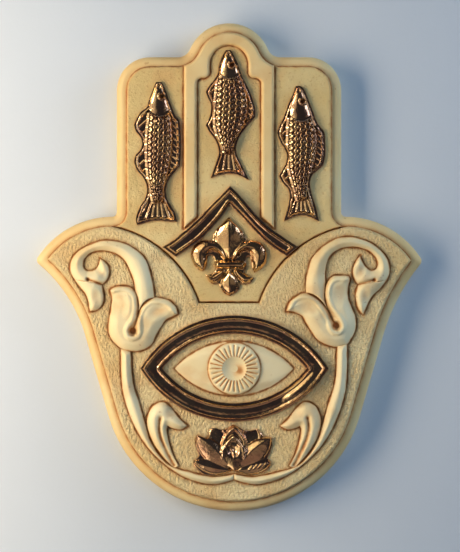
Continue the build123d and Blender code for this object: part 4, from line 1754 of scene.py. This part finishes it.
LEFT_LILY = [
    (-50, -9.7), (-50, -9.7), (-48.7, -8.6), (-45.8, -8), (-41.6, -8.4), (-39.5, -10.1),
    (-38.2, -13), (-37.7, -16.4), (-37.8, -18.5), (-37.8, -18.5), (-36.5, -16), (-34.4, -13.9),
    (-31.1, -12.8), (-27.7, -13.2), (-24.8, -14.3), (-22.3, -16.8), (-21.4, -19.7), (-21.4, -19.7),
    (-23.9, -21), (-26.5, -22.3), (-28.6, -25.2), (-30.7, -29), (-32.3, -32.3), (-34.9, -34.4),
    (-38.2, -35.3), (-41.6, -35.3), (-44.9, -34.4), (-47, -32.8), (-49.6, -29.8), (-50.6, -26.5),
    (-50.4, -22.3), (-49.6, -18.1), (-49.1, -13.4),
]
LEFT_LILY_RIM = [
    (-49.1, -10.1), (-46.6, -9.2), (-42.4, -9.7), (-40.1, -11.5), (-39.3, -14.7), (-39.3, -18.5),
    (-40.3, -21.8), (-42.4, -24.8), (-43, -26.9), (-42, -29.4), (-39.9, -30), (-37.8, -28.6),
    (-37.4, -26), (-37.6, -23.1), (-36.8, -19.3), (-34.9, -16.2), (-31.9, -14.5), (-28.1, -14.7),
    (-25.2, -16), (-22.7, -18.9),
]
RIGHT_LILY = [
    (23.9, -18.5), (23.9, -18.5), (25.2, -15.1), (27.7, -12.6), (31.1, -10.9), (34, -11.1),
    (37, -12.6), (39.5, -15.1), (41.6, -18.5), (42.8, -21.4), (42.8, -21.4), (42.4, -19.7),
    (40.7, -16), (39.9, -12.2), (40.3, -8.8), (41.6, -5.9), (43.7, -3.8), (46.6, -3.6), (50, -3.8),
    (50.8, -5), (50.8, -5), (50, -8.8), (50, -12.6), (51.2, -16.4), (52.9, -20.6), (53.3, -24.4),
    (52.5, -27.7), (51.2, -30.2), (49.6, -32.5), (44.9, -33.6), (39.1, -31.9), (36.5, -29.8),
    (34.4, -26.9), (32.3, -23.5), (30.7, -20.6), (27.7, -19.1),
]
RIGHT_LILY_RIM = [
    (25.2, -17.6), (26.9, -14.5), (29.8, -12.6), (33.2, -12.6), (36.1, -14.1), (38.2, -16.4),
    (40.3, -19.3), (41.8, -22.1), (42.2, -24.8), (43.7, -27.3), (46.2, -27.5), (47.9, -25.2),
    (47.2, -22.1), (44.9, -19.3), (42.8, -16.4), (41.6, -12.6), (41.8, -8.8), (43.3, -5.9),
    (45.8, -5), (49.1, -5),
]
LEFT_STEM = [
    (-45.4, -34.3), (-45.4, -34.3), (-45.4, -39.1), (-45.3, -43.7), (-44.9, -50), (-43.7, -55.9),
    (-41.8, -61.7), (-39.1, -67.9), (-35.5, -73.9), (-30.4, -79.8), (-23.1, -85.7), (-16.4, -89.2),
    (-8, -91.2), (-3.8, -90.9), (0, -89.9), (2.1, -89.1), (2.1, -89.1), (2.1, -86.8), (2.1, -86.8),
    (0, -87.3), (-5.9, -88), (-12.2, -87.1), (-16.4, -86), (-21.2, -84.8), (-25.6, -82.7),
    (-29.4, -78.8), (-32.9, -73.1), (-34.8, -67.2), (-36.3, -61.7), (-38, -55.9), (-39.9, -50),
    (-40.8, -43.7), (-41, -37.8), (-41.3, -35.3), (-41.3, -35.3),
]
LEFT_LEAF = [
    (-34.4, -63.7), (-33.4, -60.5), (-32, -58.3), (-29.8, -56.9), (-27.2, -56.7), (-24.8, -58.4),
    (-23, -60.6), (-20, -64.3), (-17.2, -66.7), (-17.2, -66.7), (-20, -68.2), (-23, -67.9),
    (-25.6, -66.8), (-25.6, -66.8), (-26.1, -68.5), (-25.4, -72.7), (-23.6, -78.5), (-21, -83.6),
    (-21, -83.6), (-23.1, -84.2), (-25, -82.6), (-28.7, -78.4), (-32.3, -72.7), (-34, -68),
]
LEAF_FOLD = [
    (-28.8, -63.4), (-29.3, -67.4), (-28.5, -71.8), (-26.6, -76.4), (-24.5, -80.6), (-23.1, -83.0),
]
LEAF_HOLLOW = [(-24.6, -61.6)]

EYE_CENTRE = (2.2, -42.6)
STEM_AXIS = 2.1
STEM_TOP = -34.3
RIGHT_STEM_LIFT = 2.3
LIFT_REACH = 12


# ---------------------------------------------------------------- sub-assemblies

@dataclass
class Panel:
    """Raised clay panel with a softened edge, and lines round the ornaments on it.

    The scribed outlines have a stained line round them, the pressed ones a faint stain.
    """

    name: str
    node: bpy.types.Object
    seat: float
    thickness: float
    scribed: Outlines = field(default_factory=list)
    pressed: Outlines = field(default_factory=list)
    at_back: bool = False
    rounding: float = 0.7
    edge_stain: float = 0.85
    edge_fade: float = 0.75
    scribe_width: float = 0.45
    scribe_depth: float = 0.3
    line_half: float = 0.15
    line_fade: float = 0.9
    pressed_stain: float = 0.5
    pressed_fade: float = 0.7
    wave_rise: float = 0.05
    wave_turn: Spot = (0.31, 0.27)
    wave_start: float = 1.0
    wave_range: Range = (0.5, 4.0)
    edge_step: float = 0.7
    line_step: float = 0.25
    far: float = 99.0
    coarse_pitch: float = 1.5
    fine_pitch: float = 0.36
    fine_by_scribed: float = 1.4
    fine_by_pressed: float = 1.0
    fine_by_edge: float = 1.7

    def __post_init__(self) -> None:
        """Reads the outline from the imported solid."""
        self.loops = [evenly(loop, self.edge_step) for loop in plan_of(self.node, self.at_back)]
        self.from_scribed = self.distances(self.scribed)
        self.from_pressed = self.distances(self.pressed)

    def distances(self, outlines: Outlines) -> Rule:
        """Rule that gives the distance from points to the nearest of some outlines.

        Args:
            outlines: The outlines.

        Returns:
            The rule.
        """
        if not outlines:
            return lambda points: np.full(len(points), self.far)
        tree = tree_of(np.vstack([evenly(outline, self.line_step) for outline in outlines]))
        return lambda points: gaps_to(tree, points)

    def heights(self, points: Array) -> Array:
        """Heights of the hand-smoothed face.

        Args:
            points: Places on the plaque.

        Returns:
            The heights over the seat.
        """
        inset = edge_gap(points, self.loops)
        softened = self.rounding * (1 - quarter_round(inset, self.rounding))
        across = np.sin(points[:, 0] * self.wave_turn[0] + self.wave_start)
        waves = across * np.sin(points[:, 1] * self.wave_turn[1]) * self.wave_rise
        waves = waves * soft_step(inset, *self.wave_range)
        line = self.scribe_depth * hump(self.from_scribed(points), self.scribe_width)
        return self.thickness - softened - self.wave_rise + waves - line

    def stains(self, points: Array) -> Array:
        """Shares of stain round the ornaments and along the edge.

        Args:
            points: Places on the plaque.

        Returns:
            The shares.
        """
        beside = np.maximum(self.from_scribed(points) - self.line_half, 0)
        faint = self.pressed_stain * fade(self.from_pressed(points), self.pressed_fade)
        edge = self.edge_stain * fade(edge_gap(points, self.loops), self.edge_fade)
        return np.max([fade(beside, self.line_fade), faint, edge], axis=0)

    def build(self, material: Material) -> None:
        """Makes the panel, with finer triangles where it bends, and gives it its finish.

        Args:
            material: The finish.
        """
        coarse = lattice(self.loops, self.coarse_pitch)
        gap = np.minimum(self.from_scribed(coarse), self.from_pressed(coarse))
        fine = lattice(self.loops, self.fine_pitch)
        bent = self.from_scribed(fine) < self.fine_by_scribed
        bent = bent | (self.from_pressed(fine) < self.fine_by_pressed)
        bent = bent | (edge_gap(fine, self.loops) < self.fine_by_edge)
        inner = np.vstack([coarse[gap > self.coarse_pitch], fine[bent]])
        piece = closed_relief(
            self.name + "_clay", self.loops, inner, self.seat, self.heights, self.stains)
        dress(piece, self.name, "clay", material)


@dataclass
class HandBody:
    """Slab, panels and arch of the clay hand."""

    nodes: dict[str, bpy.types.Object]
    finger_thickness: float = 1.6
    palm_thickness: float = 2.8
    arch_rise: float = 1.6

    def build(self, palette: Palette, on_fingers: list[Relief], clay_on_palm: list[Relief],
              lustre_on_palm: list[Relief]) -> None:
        """Builds the panels and the arch, and dresses the slab.

        Args:
            palette: The finishes.
            on_fingers: Ornaments on the fingers.
            clay_on_palm: Clay ornaments on the palm.
            lustre_on_palm: Lustre ornaments on the palm.
        """
        arch = self.nodes["finger_arch"]
        Panel("finger_panel", self.nodes["finger_panel"], SLAB_FACE, self.finger_thickness,
              plan_of(arch, True), self.lines(on_fingers), rounding=0.9).build(palette.panel)
        Panel("palm_panel", self.nodes["palm_panel"], SLAB_FACE, self.palm_thickness,
              self.lines(clay_on_palm), self.lines(lustre_on_palm), rounding=1.5,
              edge_stain=0.4).build(palette.palm)
        Panel("finger_arch", arch, FINGER_FACE, self.arch_rise, at_back=True, rounding=1.4,
              edge_stain=0.55).build(palette.rim)
        coat(self.nodes["hand_slab"], palette.rim)

    def lines(self, pieces: list[Relief]) -> Outlines:
        """Outlines of some ornaments."""
        return [outline for piece in pieces for outline in piece.outlines()]


@dataclass
class FingerOrnaments:
    """Fish, chevron and fleur-de-lis on the fingers."""

    pieces: list[Relief] = field(default_factory=list)

    def __post_init__(self) -> None:
        """Draws the pieces."""
        place = {"seat": FINGER_FACE, "slot": "lustre", "pitch": 0.26,
                 "edge_lines": (0.3, 0.6, 0.85, 1.1, 1.35, 1.6)}
        self.pieces = [
            Fish("left_fish_lustre", "left_fish", LEFT_FISH, **place, eye=(-28.2, 71.6),
                 gill=62.8, tail_root=27.5, belly=LEFT_FISH_BELLY, back=LEFT_FISH_BACK),
            Fish("middle_fish_lustre", "middle_fish", MIDDLE_FISH, **place, eye=(1.2, 84.8),
                 gill=78.6, tail_root=48.0, belly=MIDDLE_FISH_BELLY, back=MIDDLE_FISH_BACK),
            Fish("right_fish_lustre", "right_fish", RIGHT_FISH, **place, eye=(30.9, 69.5),
                 gill=60.8, tail_root=28.5, belly=RIGHT_FISH_BELLY, back=RIGHT_FISH_BACK),
            BorderedBar("chevron_lustre", "chevron", CHEVRON, **place, half_band=2.9),
            PetalCluster("fleur_lustre", "fleur_de_lis", FLEUR, **place, smoothing=2,
                         features=self.fleur()),
        ]

    def fleur(self) -> list[Feature]:
        """Curls and tails on both sides, a ridged middle petal, its foot and the band.

        Returns:
            The features in the order they are laid on.
        """
        curl = [(1.7, 3.8), (3.8, 7.1), (6.9, 8.8), (10.3, 8.2), (12.4, 5.5), (12.2, 2.3),
                (11.2, -0.9)]
        crease = [(3.6, 4.6), (5.2, 6.8), (7.6, 7.2), (9.6, 5.6)]
        tail = [(2.8, -1.9), (4.9, -3.8), (7.0, -5.0), (9.0, -4.4)]
        features: list[Feature] = []
        for side in (1, -1):
            features += [
                Curl([(0.2 - side * x, y) for x, y in curl],
                     [0.8, 1.3, 2.0, 2.8, 3.2, 2.7, 0.9], 1.3, 1.45, 1.35),
                Groove([(0.2 - side * x, y) for x, y in crease], 0.3, 0.5),
                Curl([(0.3 - side * x, y) for x, y in tail], [0.8, 1.5, 1.7, 0.6], 1.1, 1.0),
            ]
        return features + [
            Petal((0.2, -0.8), (0.2, -11.5), 3.5, 0.9, 2.7, belly=0.6, flank=0.7, arch=0.5),
            Petal((0.1, 3.2), (0.0, 20.0), 5.8, 0.9, 3.4, belly=0.52, flank=0.7, arch=0.5),
            Curl([(-4.4, 1.0), (5.2, 1.0)], [1.6, 1.6], 1.4, 1.3),
        ]

    def build(self, palette: Palette) -> None:
        """Builds and dresses the ornaments."""
        for piece in self.pieces:
            piece.build(palette.gilt if isinstance(piece, PetalCluster) else palette.lustre)


@dataclass
class Eye:
    """Frame, white and iris of the eye."""

    centre: Spot = EYE_CENTRE
    frame_size: Range = (79.0, 44.4)
    band: float = 7.6
    white_size: Range = (50.0, 22.8)
    iris_radius: float = 11.0
    iris_points: int = 72

    def __post_init__(self) -> None:
        """Draws the three pieces."""
        swellings = [Dish((30.6, -51.7), 12.0, 4.3, 40.6, -1.5),
                     Dish((-23.6, -52.9), 12.0, 2.6, -37, -0.55)]
        self.frame = BorderedBar(
            "eye_frame_lustre", "eye_frame", almond(self.centre, *self.frame_size), PALM_FACE,
            "lustre", hole=almond(self.centre, *self.frame_size, self.band),
            half_band=self.band / 2, face_rise=2.1, bead_rise=2.75, crown=0.7, fall=0.3, pitch=0.3,
            edge_lines=(0.3, 0.6, 0.85, 1.1, 1.35, 1.6, 1.9, 2.2), features=swellings)
        self.white = EyeWhite(
            "eye_white_clay", "eye_white", almond(self.centre, *self.white_size), PALM_FACE,
            "clay", pitch=0.45, smoothing=5, centre=self.centre, iris_radius=self.iris_radius)
        turns = np.linspace(0, 2 * math.pi, self.iris_points, endpoint=False)
        ring = [(self.centre[0] + self.iris_radius * math.cos(a),
                 self.centre[1] + self.iris_radius * math.sin(a)) for a in turns]
        self.iris = Iris(
            "iris_clay", "iris", ring, EYE_FACE, "clay", pitch=0.22, smoothing=3,
            centre=self.centre, radius=self.iris_radius)

    def build(self, palette: Palette) -> None:
        """Builds and dresses the three pieces."""
        self.frame.build(palette.lustre)
        for piece in (self.white, self.iris):
            piece.build(palette.sprig)


@dataclass
class PalmSprigs:
    """Scrolls, lilies, stems, leaves and the lotus on the palm."""

    pieces: list[Relief] = field(default_factory=list)

    def __post_init__(self) -> None:
        """Draws the pieces."""
        place = {"seat": PALM_FACE, "slot": "clay", "smoothing": 3}
        left_marks = self.curl_marks((-59.2, -5.2), (-53.3, -7.4), (-53.6, -2.0), (-55.6, -12.9), 1)
        right_marks = self.curl_marks((60.9, -5.5), (54.2, -7.4), (55.2, -1.8), (57.0, -12.4), -1)
        left_bell = [
            Dish((-45.4, -15.6), 4.2, 6.6, 0, 1.3), Dish((-29.6, -18.4), 6.4, 3.6, 25, 1.2),
            Bead(LEFT_LILY_RIM, 1.1, 1.0),
            Groove([(-37.9, -18.9), (-38.6, -22.2), (-40.0, -25.6)], 0.6, 1.6),
            Bore((-40.3, -26.9), 2.2, 0.3),
        ]
        right_bell = [
            Dish((32.4, -16.6), 6.4, 3.8, -25, 1.2), Dish((46.0, -11.0), 3.9, 6.4, 0, 1.3),
            Bead(RIGHT_LILY_RIM, 1.1, 1.0),
            Groove([(42.8, -21.2), (43.6, -22.6), (44.6, -23.8)], 0.6, 1.4),
            Bore((44.9, -24.6), 2.2, 0.3),
        ]
        left_leaf = [LEFT_LEAF, LEAF_FOLD, LEAF_HOLLOW]
        right_leaf = [mirrored(line, STEM_AXIS) for line in left_leaf]
        left = {"form": LEFT_SCROLL_FORM, "features": left_marks}
        right = {"form": RIGHT_SCROLL_FORM, "features": right_marks}
        lily = {"rise": 3.1, "reach": 4.2}
        stem = {"rise": 2.5, "reach": 2.3, "fullness": 1.15}
        leaf = {"rise": 2.8, "reach": 3.2}
        drawn = [
            ("left_scroll", LEFT_SCROLL, left),
            ("left_scroll_leaf", LEFT_SCROLL_LEAF, left),
            ("right_scroll", RIGHT_SCROLL, right),
            ("right_scroll_leaf", RIGHT_SCROLL_LEAF, right),
            ("left_lily", LEFT_LILY, {**lily, "features": left_bell}),
            ("right_lily", RIGHT_LILY, {**lily, "features": right_bell}),
            ("left_stem", LEFT_STEM, stem),
            ("right_stem", self.lifted(mirrored(LEFT_STEM, STEM_AXIS)), stem),
            ("left_leaf", left_leaf[0], {**leaf, "features": self.leaf_marks(*left_leaf[1:])}),
            ("right_leaf", right_leaf[0], {**leaf, "features": self.leaf_marks(*right_leaf[1:])}),
        ]
        self.pieces = [Sprig(node + "_clay", node, outline, **shape, **place)
                       for node, outline, shape in drawn]
        self.lotus = PetalCluster(
            "lotus_lustre", "lotus", LOTUS, PALM_FACE, "lustre", pitch=0.2, smoothing=3,
            features=self.petals())

    def lifted(self, outline: Points) -> Points:
        """Stem drawn on up to the higher lily."""
        lifts = [max(0.0, 1 - (STEM_TOP - y) / LIFT_REACH) for _, y in outline]
        return [(x, y + RIGHT_STEM_LIFT * lift) for (x, y), lift in zip(outline, lifts)]

    def curl_marks(self, hole: Spot, notch: Spot, lobe: Spot, leaf: Spot,
                   side: int) -> list[Feature]:
        """Hole, slit and hollows where a scroll curls in.

        Args:
            hole: Where the hole is drilled.
            notch: Where the slit runs out.
            lobe: Middle of the curl's end.
            leaf: Middle of the hanging leaf.
            side: 1 on the left, -1 on the right.

        Returns:
            The features.
        """
        middle = ((hole[0] + notch[0]) / 2, (hole[1] + notch[1]) / 2 + 0.1)
        return [
            Dish(lobe, 2.4, 4.0, side * 20, 1.2),
            Dish(leaf, 2.4, 4.6, side * 8, 1.1),
            Groove([hole, middle, notch], 0.5, 1.5),
            Bore(hole, 0.9, 0.5),
        ]

    def leaf_marks(self, fold: Points, hollow: Points) -> list[Feature]:
        """Hollow and deep fold of a crooked leaf."""
        return [Dish(hollow[0], 3.4, 3.2, 0, 0.7), Groove(fold, 0.85, 1.7)]

    def petals(self) -> list[Feature]:
        """Petals of the lotus, from the outer ones to the folded heart.

        Returns:
            The features in the order they are laid on.
        """
        hollowed = {"belly": 0.62, "rim": 0.8, "hollow": 0.5}
        ridged = {"flank": 0.65, "arch": 0.5}
        outer_fold = [(-3.0, -77.4), (-2.6, -74.2), (-1.0, -70.6), (2.2, -67.7), (5.2, -70.6),
                      (6.6, -74.0), (7.0, -77.4)]
        inner_fold = [(-2.4, -79.6), (-2.0, -76.4), (-0.9, -73.8), (1.8, -71.2), (4.6, -73.8),
                      (6.0, -76.4), (6.4, -79.4)]
        veins = [[(8.4 + 2.0 * i, -84.9 + 0.45 * i), (9.9 + 2.0 * i, -83.5 + 0.45 * i)]
                 for i in range(4)]
        return [
            Petal((-0.8, -80.4), (-6.4, -67.0), 4.0, 1.2, 1.5, **hollowed),
            Petal((5.0, -80.0), (11.4, -67.2), 4.2, 1.2, 1.5, **hollowed),
            Petal((0.4, -85.4), (-14.5, -81.7), 3.0, 1.0, 2.0, ridge_shift=0.2, **ridged),
            Petal((3.2, -85.4), (17.7, -81.9), 3.0, 1.0, 2.0, ridge_shift=-0.2, **ridged),
            Petal((0.0, -84.2), (-13.8, -70.6), 4.2, 1.1, 2.9, ridge_shift=-0.35, **ridged),
            Petal((4.0, -83.8), (17.6, -71.6), 4.2, 1.1, 2.9, ridge_shift=0.3, **ridged),
            Petal((2.2, -85.0), (2.2, -66.5), 5.6, 1.5, 2.3, flank=0.6, arch=0.4),
            Bead(outer_fold, 0.75, 0.75),
            Petal((2.2, -85.6), (1.9, -70.6), 4.6, 2.0, 3.2, flank=0.7, arch=0.4),
            Bead(inner_fold, 0.75, 0.75),
            Dish((1.8, -76.6), 2.9, 3.9, 0, 1.9),
            Bead([(0.5, -74.8), (1.3, -76.8), (2.2, -79.0)], 0.55, 0.5),
            *(Bead(vein, 0.4, 0.35) for vein in veins),
        ]

    def build(self, palette: Palette) -> None:
        """Builds and dresses the sprigs and the lotus."""
        for piece in self.pieces:
            piece.build(palette.sprig)
        self.lotus.build(palette.lustre)


@dataclass
class Hanger:
    """Lugs and bail in the back of the slab."""

    nodes: dict[str, bpy.types.Object]

    def build(self, palette: Palette) -> None:
        """Dresses the lugs and the bail."""
        for name in ("left_lug", "right_lug"):
            coat(self.nodes[name], palette.rim)
        coat(self.nodes["bail"], palette.wire)


@dataclass(frozen=True)
class Lamp:
    """Soft flat lamp turned to the plaque, which the lustre doesn't mirror.

    The place and the size are in metres.
    """

    name: str
    place: Triple
    size: Range
    watts: float
    colour: Colour

    def build(self) -> None:
        """Hangs the lamp."""
        data = bpy.data.lights.new(self.name, "AREA")
        data.shape = "RECTANGLE"
        data.size, data.size_y = self.size
        data.energy = self.watts
        data.color = self.colour
        lamp = bpy.data.objects.new(self.name, data)
        lamp.location = self.place
        lamp.rotation_euler = (-Vector(self.place)).to_track_quat("-Z", "Y").to_euler()
        lamp.visible_glossy = False
        bpy.context.scene.collection.objects.link(lamp)


@dataclass
class Studio:
    """Camera, wall, dark room and lamps.

    The camera's sizes are in millimetres, those of the wall and the room in metres.
    """

    view_height: float = 231.84
    aim: Spot = (0.42, -3.78)
    focus: float = 11.0
    distance: float = 1200.0
    sensor: float = 24.0
    farthest: float = 20.0
    wall_size: float = 3.0
    wall_gap: float = 0.0006
    room_size: float = 5.0
    air: Colour = (0.55, 0.68, 0.95)
    air_strength: float = 0.035
    backdrop: Colour = (0.74, 0.74, 0.73)
    lamps: tuple[Lamp, ...] = (
        Lamp("key", (-0.29, -0.195, 0.005), (0.14, 0.46), 1.85, (1.0, 0.83, 0.60)),
        Lamp("fill", (0.45, -1.10, 0.35), (1.2, 1.2), 4.2, (0.50, 0.76, 1.0)),
        Lamp("sky", (0.95, -0.22, 0.40), (0.6, 0.6), 6.2, (0.72, 0.85, 1.0)),
        Lamp("behind", (-0.5, 0.9, 0.6), (0.6, 0.6), 9.0, (1.0, 0.97, 0.92)),
    )

    def camera(self) -> None:
        """Camera straight in front of the plaque, at the photograph's framing."""
        data = bpy.data.cameras.new("camera")
        data.sensor_fit = "VERTICAL"
        data.sensor_height = self.sensor
        data.lens = self.sensor * self.distance / self.view_height
        data.clip_end = self.farthest
        camera = bpy.data.objects.new("camera", data)
        back = -(self.distance + self.focus)
        camera.location = (self.aim[0] * MM, back * MM, self.aim[1] * MM)
        camera.rotation_euler = (math.pi / 2, 0, 0)
        bpy.context.scene.collection.objects.link(camera)
        bpy.context.scene.camera = camera

    def wall(self) -> None:
        """Pale wall behind the plaque."""
        bpy.ops.object.select_all(action="DESELECT")
        bpy.ops.mesh.primitive_plane_add(
            size=self.wall_size, location=(0, self.wall_gap, 0), rotation=(math.pi / 2, 0, 0))
        wall = bpy.context.object
        wall.name = "wall"
        bpy.ops.object.transform_apply(location=True, rotation=True)
        wall.data.materials.append(WallFinish().material())
        wall.visible_shadow = False
        wall.visible_diffuse = False

    def dark_room(self) -> None:
        """Dark walls on the camera's side, which only the lustre mirrors."""
        bpy.ops.object.select_all(action="DESELECT")
        bpy.ops.mesh.primitive_cube_add(size=self.room_size, location=(0, -self.room_size / 2, 0))
        room = bpy.context.object
        room.name = "dark_room"
        bpy.ops.object.transform_apply(location=True)
        bpy.ops.object.mode_set(mode="EDIT")
        bpy.ops.mesh.select_all(action="DESELECT")
        bpy.ops.object.mode_set(mode="OBJECT")
        for polygon in room.data.polygons:
            polygon.select = polygon.normal.y > 0.5
        bpy.ops.object.mode_set(mode="EDIT")
        bpy.ops.mesh.select_mode(type="FACE")
        bpy.ops.mesh.delete(type="ONLY_FACE")
        bpy.ops.mesh.select_all(action="SELECT")
        bpy.ops.mesh.flip_normals()
        bpy.ops.object.mode_set(mode="OBJECT")
        room.data.materials.append(RoomFinish().material())
        room.visible_camera = False
        room.visible_diffuse = False
        room.visible_shadow = False

    def world(self) -> None:
        """Dim cool room with a pale backdrop that the camera, metal and glass see."""
        world = bpy.data.worlds.new("room")
        bpy.context.scene.world = world
        world.use_nodes = True
        tree = world.node_tree
        tree.nodes.clear()
        path = tree.nodes.new("ShaderNodeLightPath")
        mix = tree.nodes.new("ShaderNodeMixShader")
        backgrounds = ((self.air, self.air_strength), (self.backdrop, 1.0))
        for socket, (colour, strength) in enumerate(backgrounds, start=1):
            background = tree.nodes.new("ShaderNodeBackground")
            background.inputs[0].default_value = (*colour, 1)
            background.inputs[1].default_value = strength
            tree.links.new(background.outputs[0], mix.inputs[socket])
        seen = path.outputs["Is Camera Ray"]
        for ray in ("Is Glossy Ray", "Is Transmission Ray"):
            either = tree.nodes.new("ShaderNodeMath")
            either.operation = "MAXIMUM"
            tree.links.new(seen, either.inputs[0])
            tree.links.new(path.outputs[ray], either.inputs[1])
            seen = either.outputs[0]
        tree.links.new(seen, mix.inputs[0])
        tree.links.new(mix.outputs[0], tree.nodes.new("ShaderNodeOutputWorld").inputs[0])

    def build(self) -> None:
        """Sets up the studio."""
        self.camera()
        self.wall()
        self.dark_room()
        for lamp in self.lamps:
            lamp.build()
        self.world()
        bpy.context.scene.view_settings.view_transform = "Standard"


def main() -> None:
    """Builds and dresses the plaque in order."""
    logging.basicConfig(level=logging.INFO, format="%(name)s %(message)s")
    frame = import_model()
    nodes = frame["nodes"]
    palette = Palette()
    fingers = FingerOrnaments()
    eye = Eye()
    sprigs = PalmSprigs()
    fingers.build(palette)
    eye.build(palette)
    sprigs.build(palette)
    on_palm = [*sprigs.pieces, eye.white]
    HandBody(nodes).build(palette, fingers.pieces, on_palm, [sprigs.lotus, eye.frame])
    Hanger(nodes).build(palette)
    Studio().build()


if __name__ == "__main__":
    main()
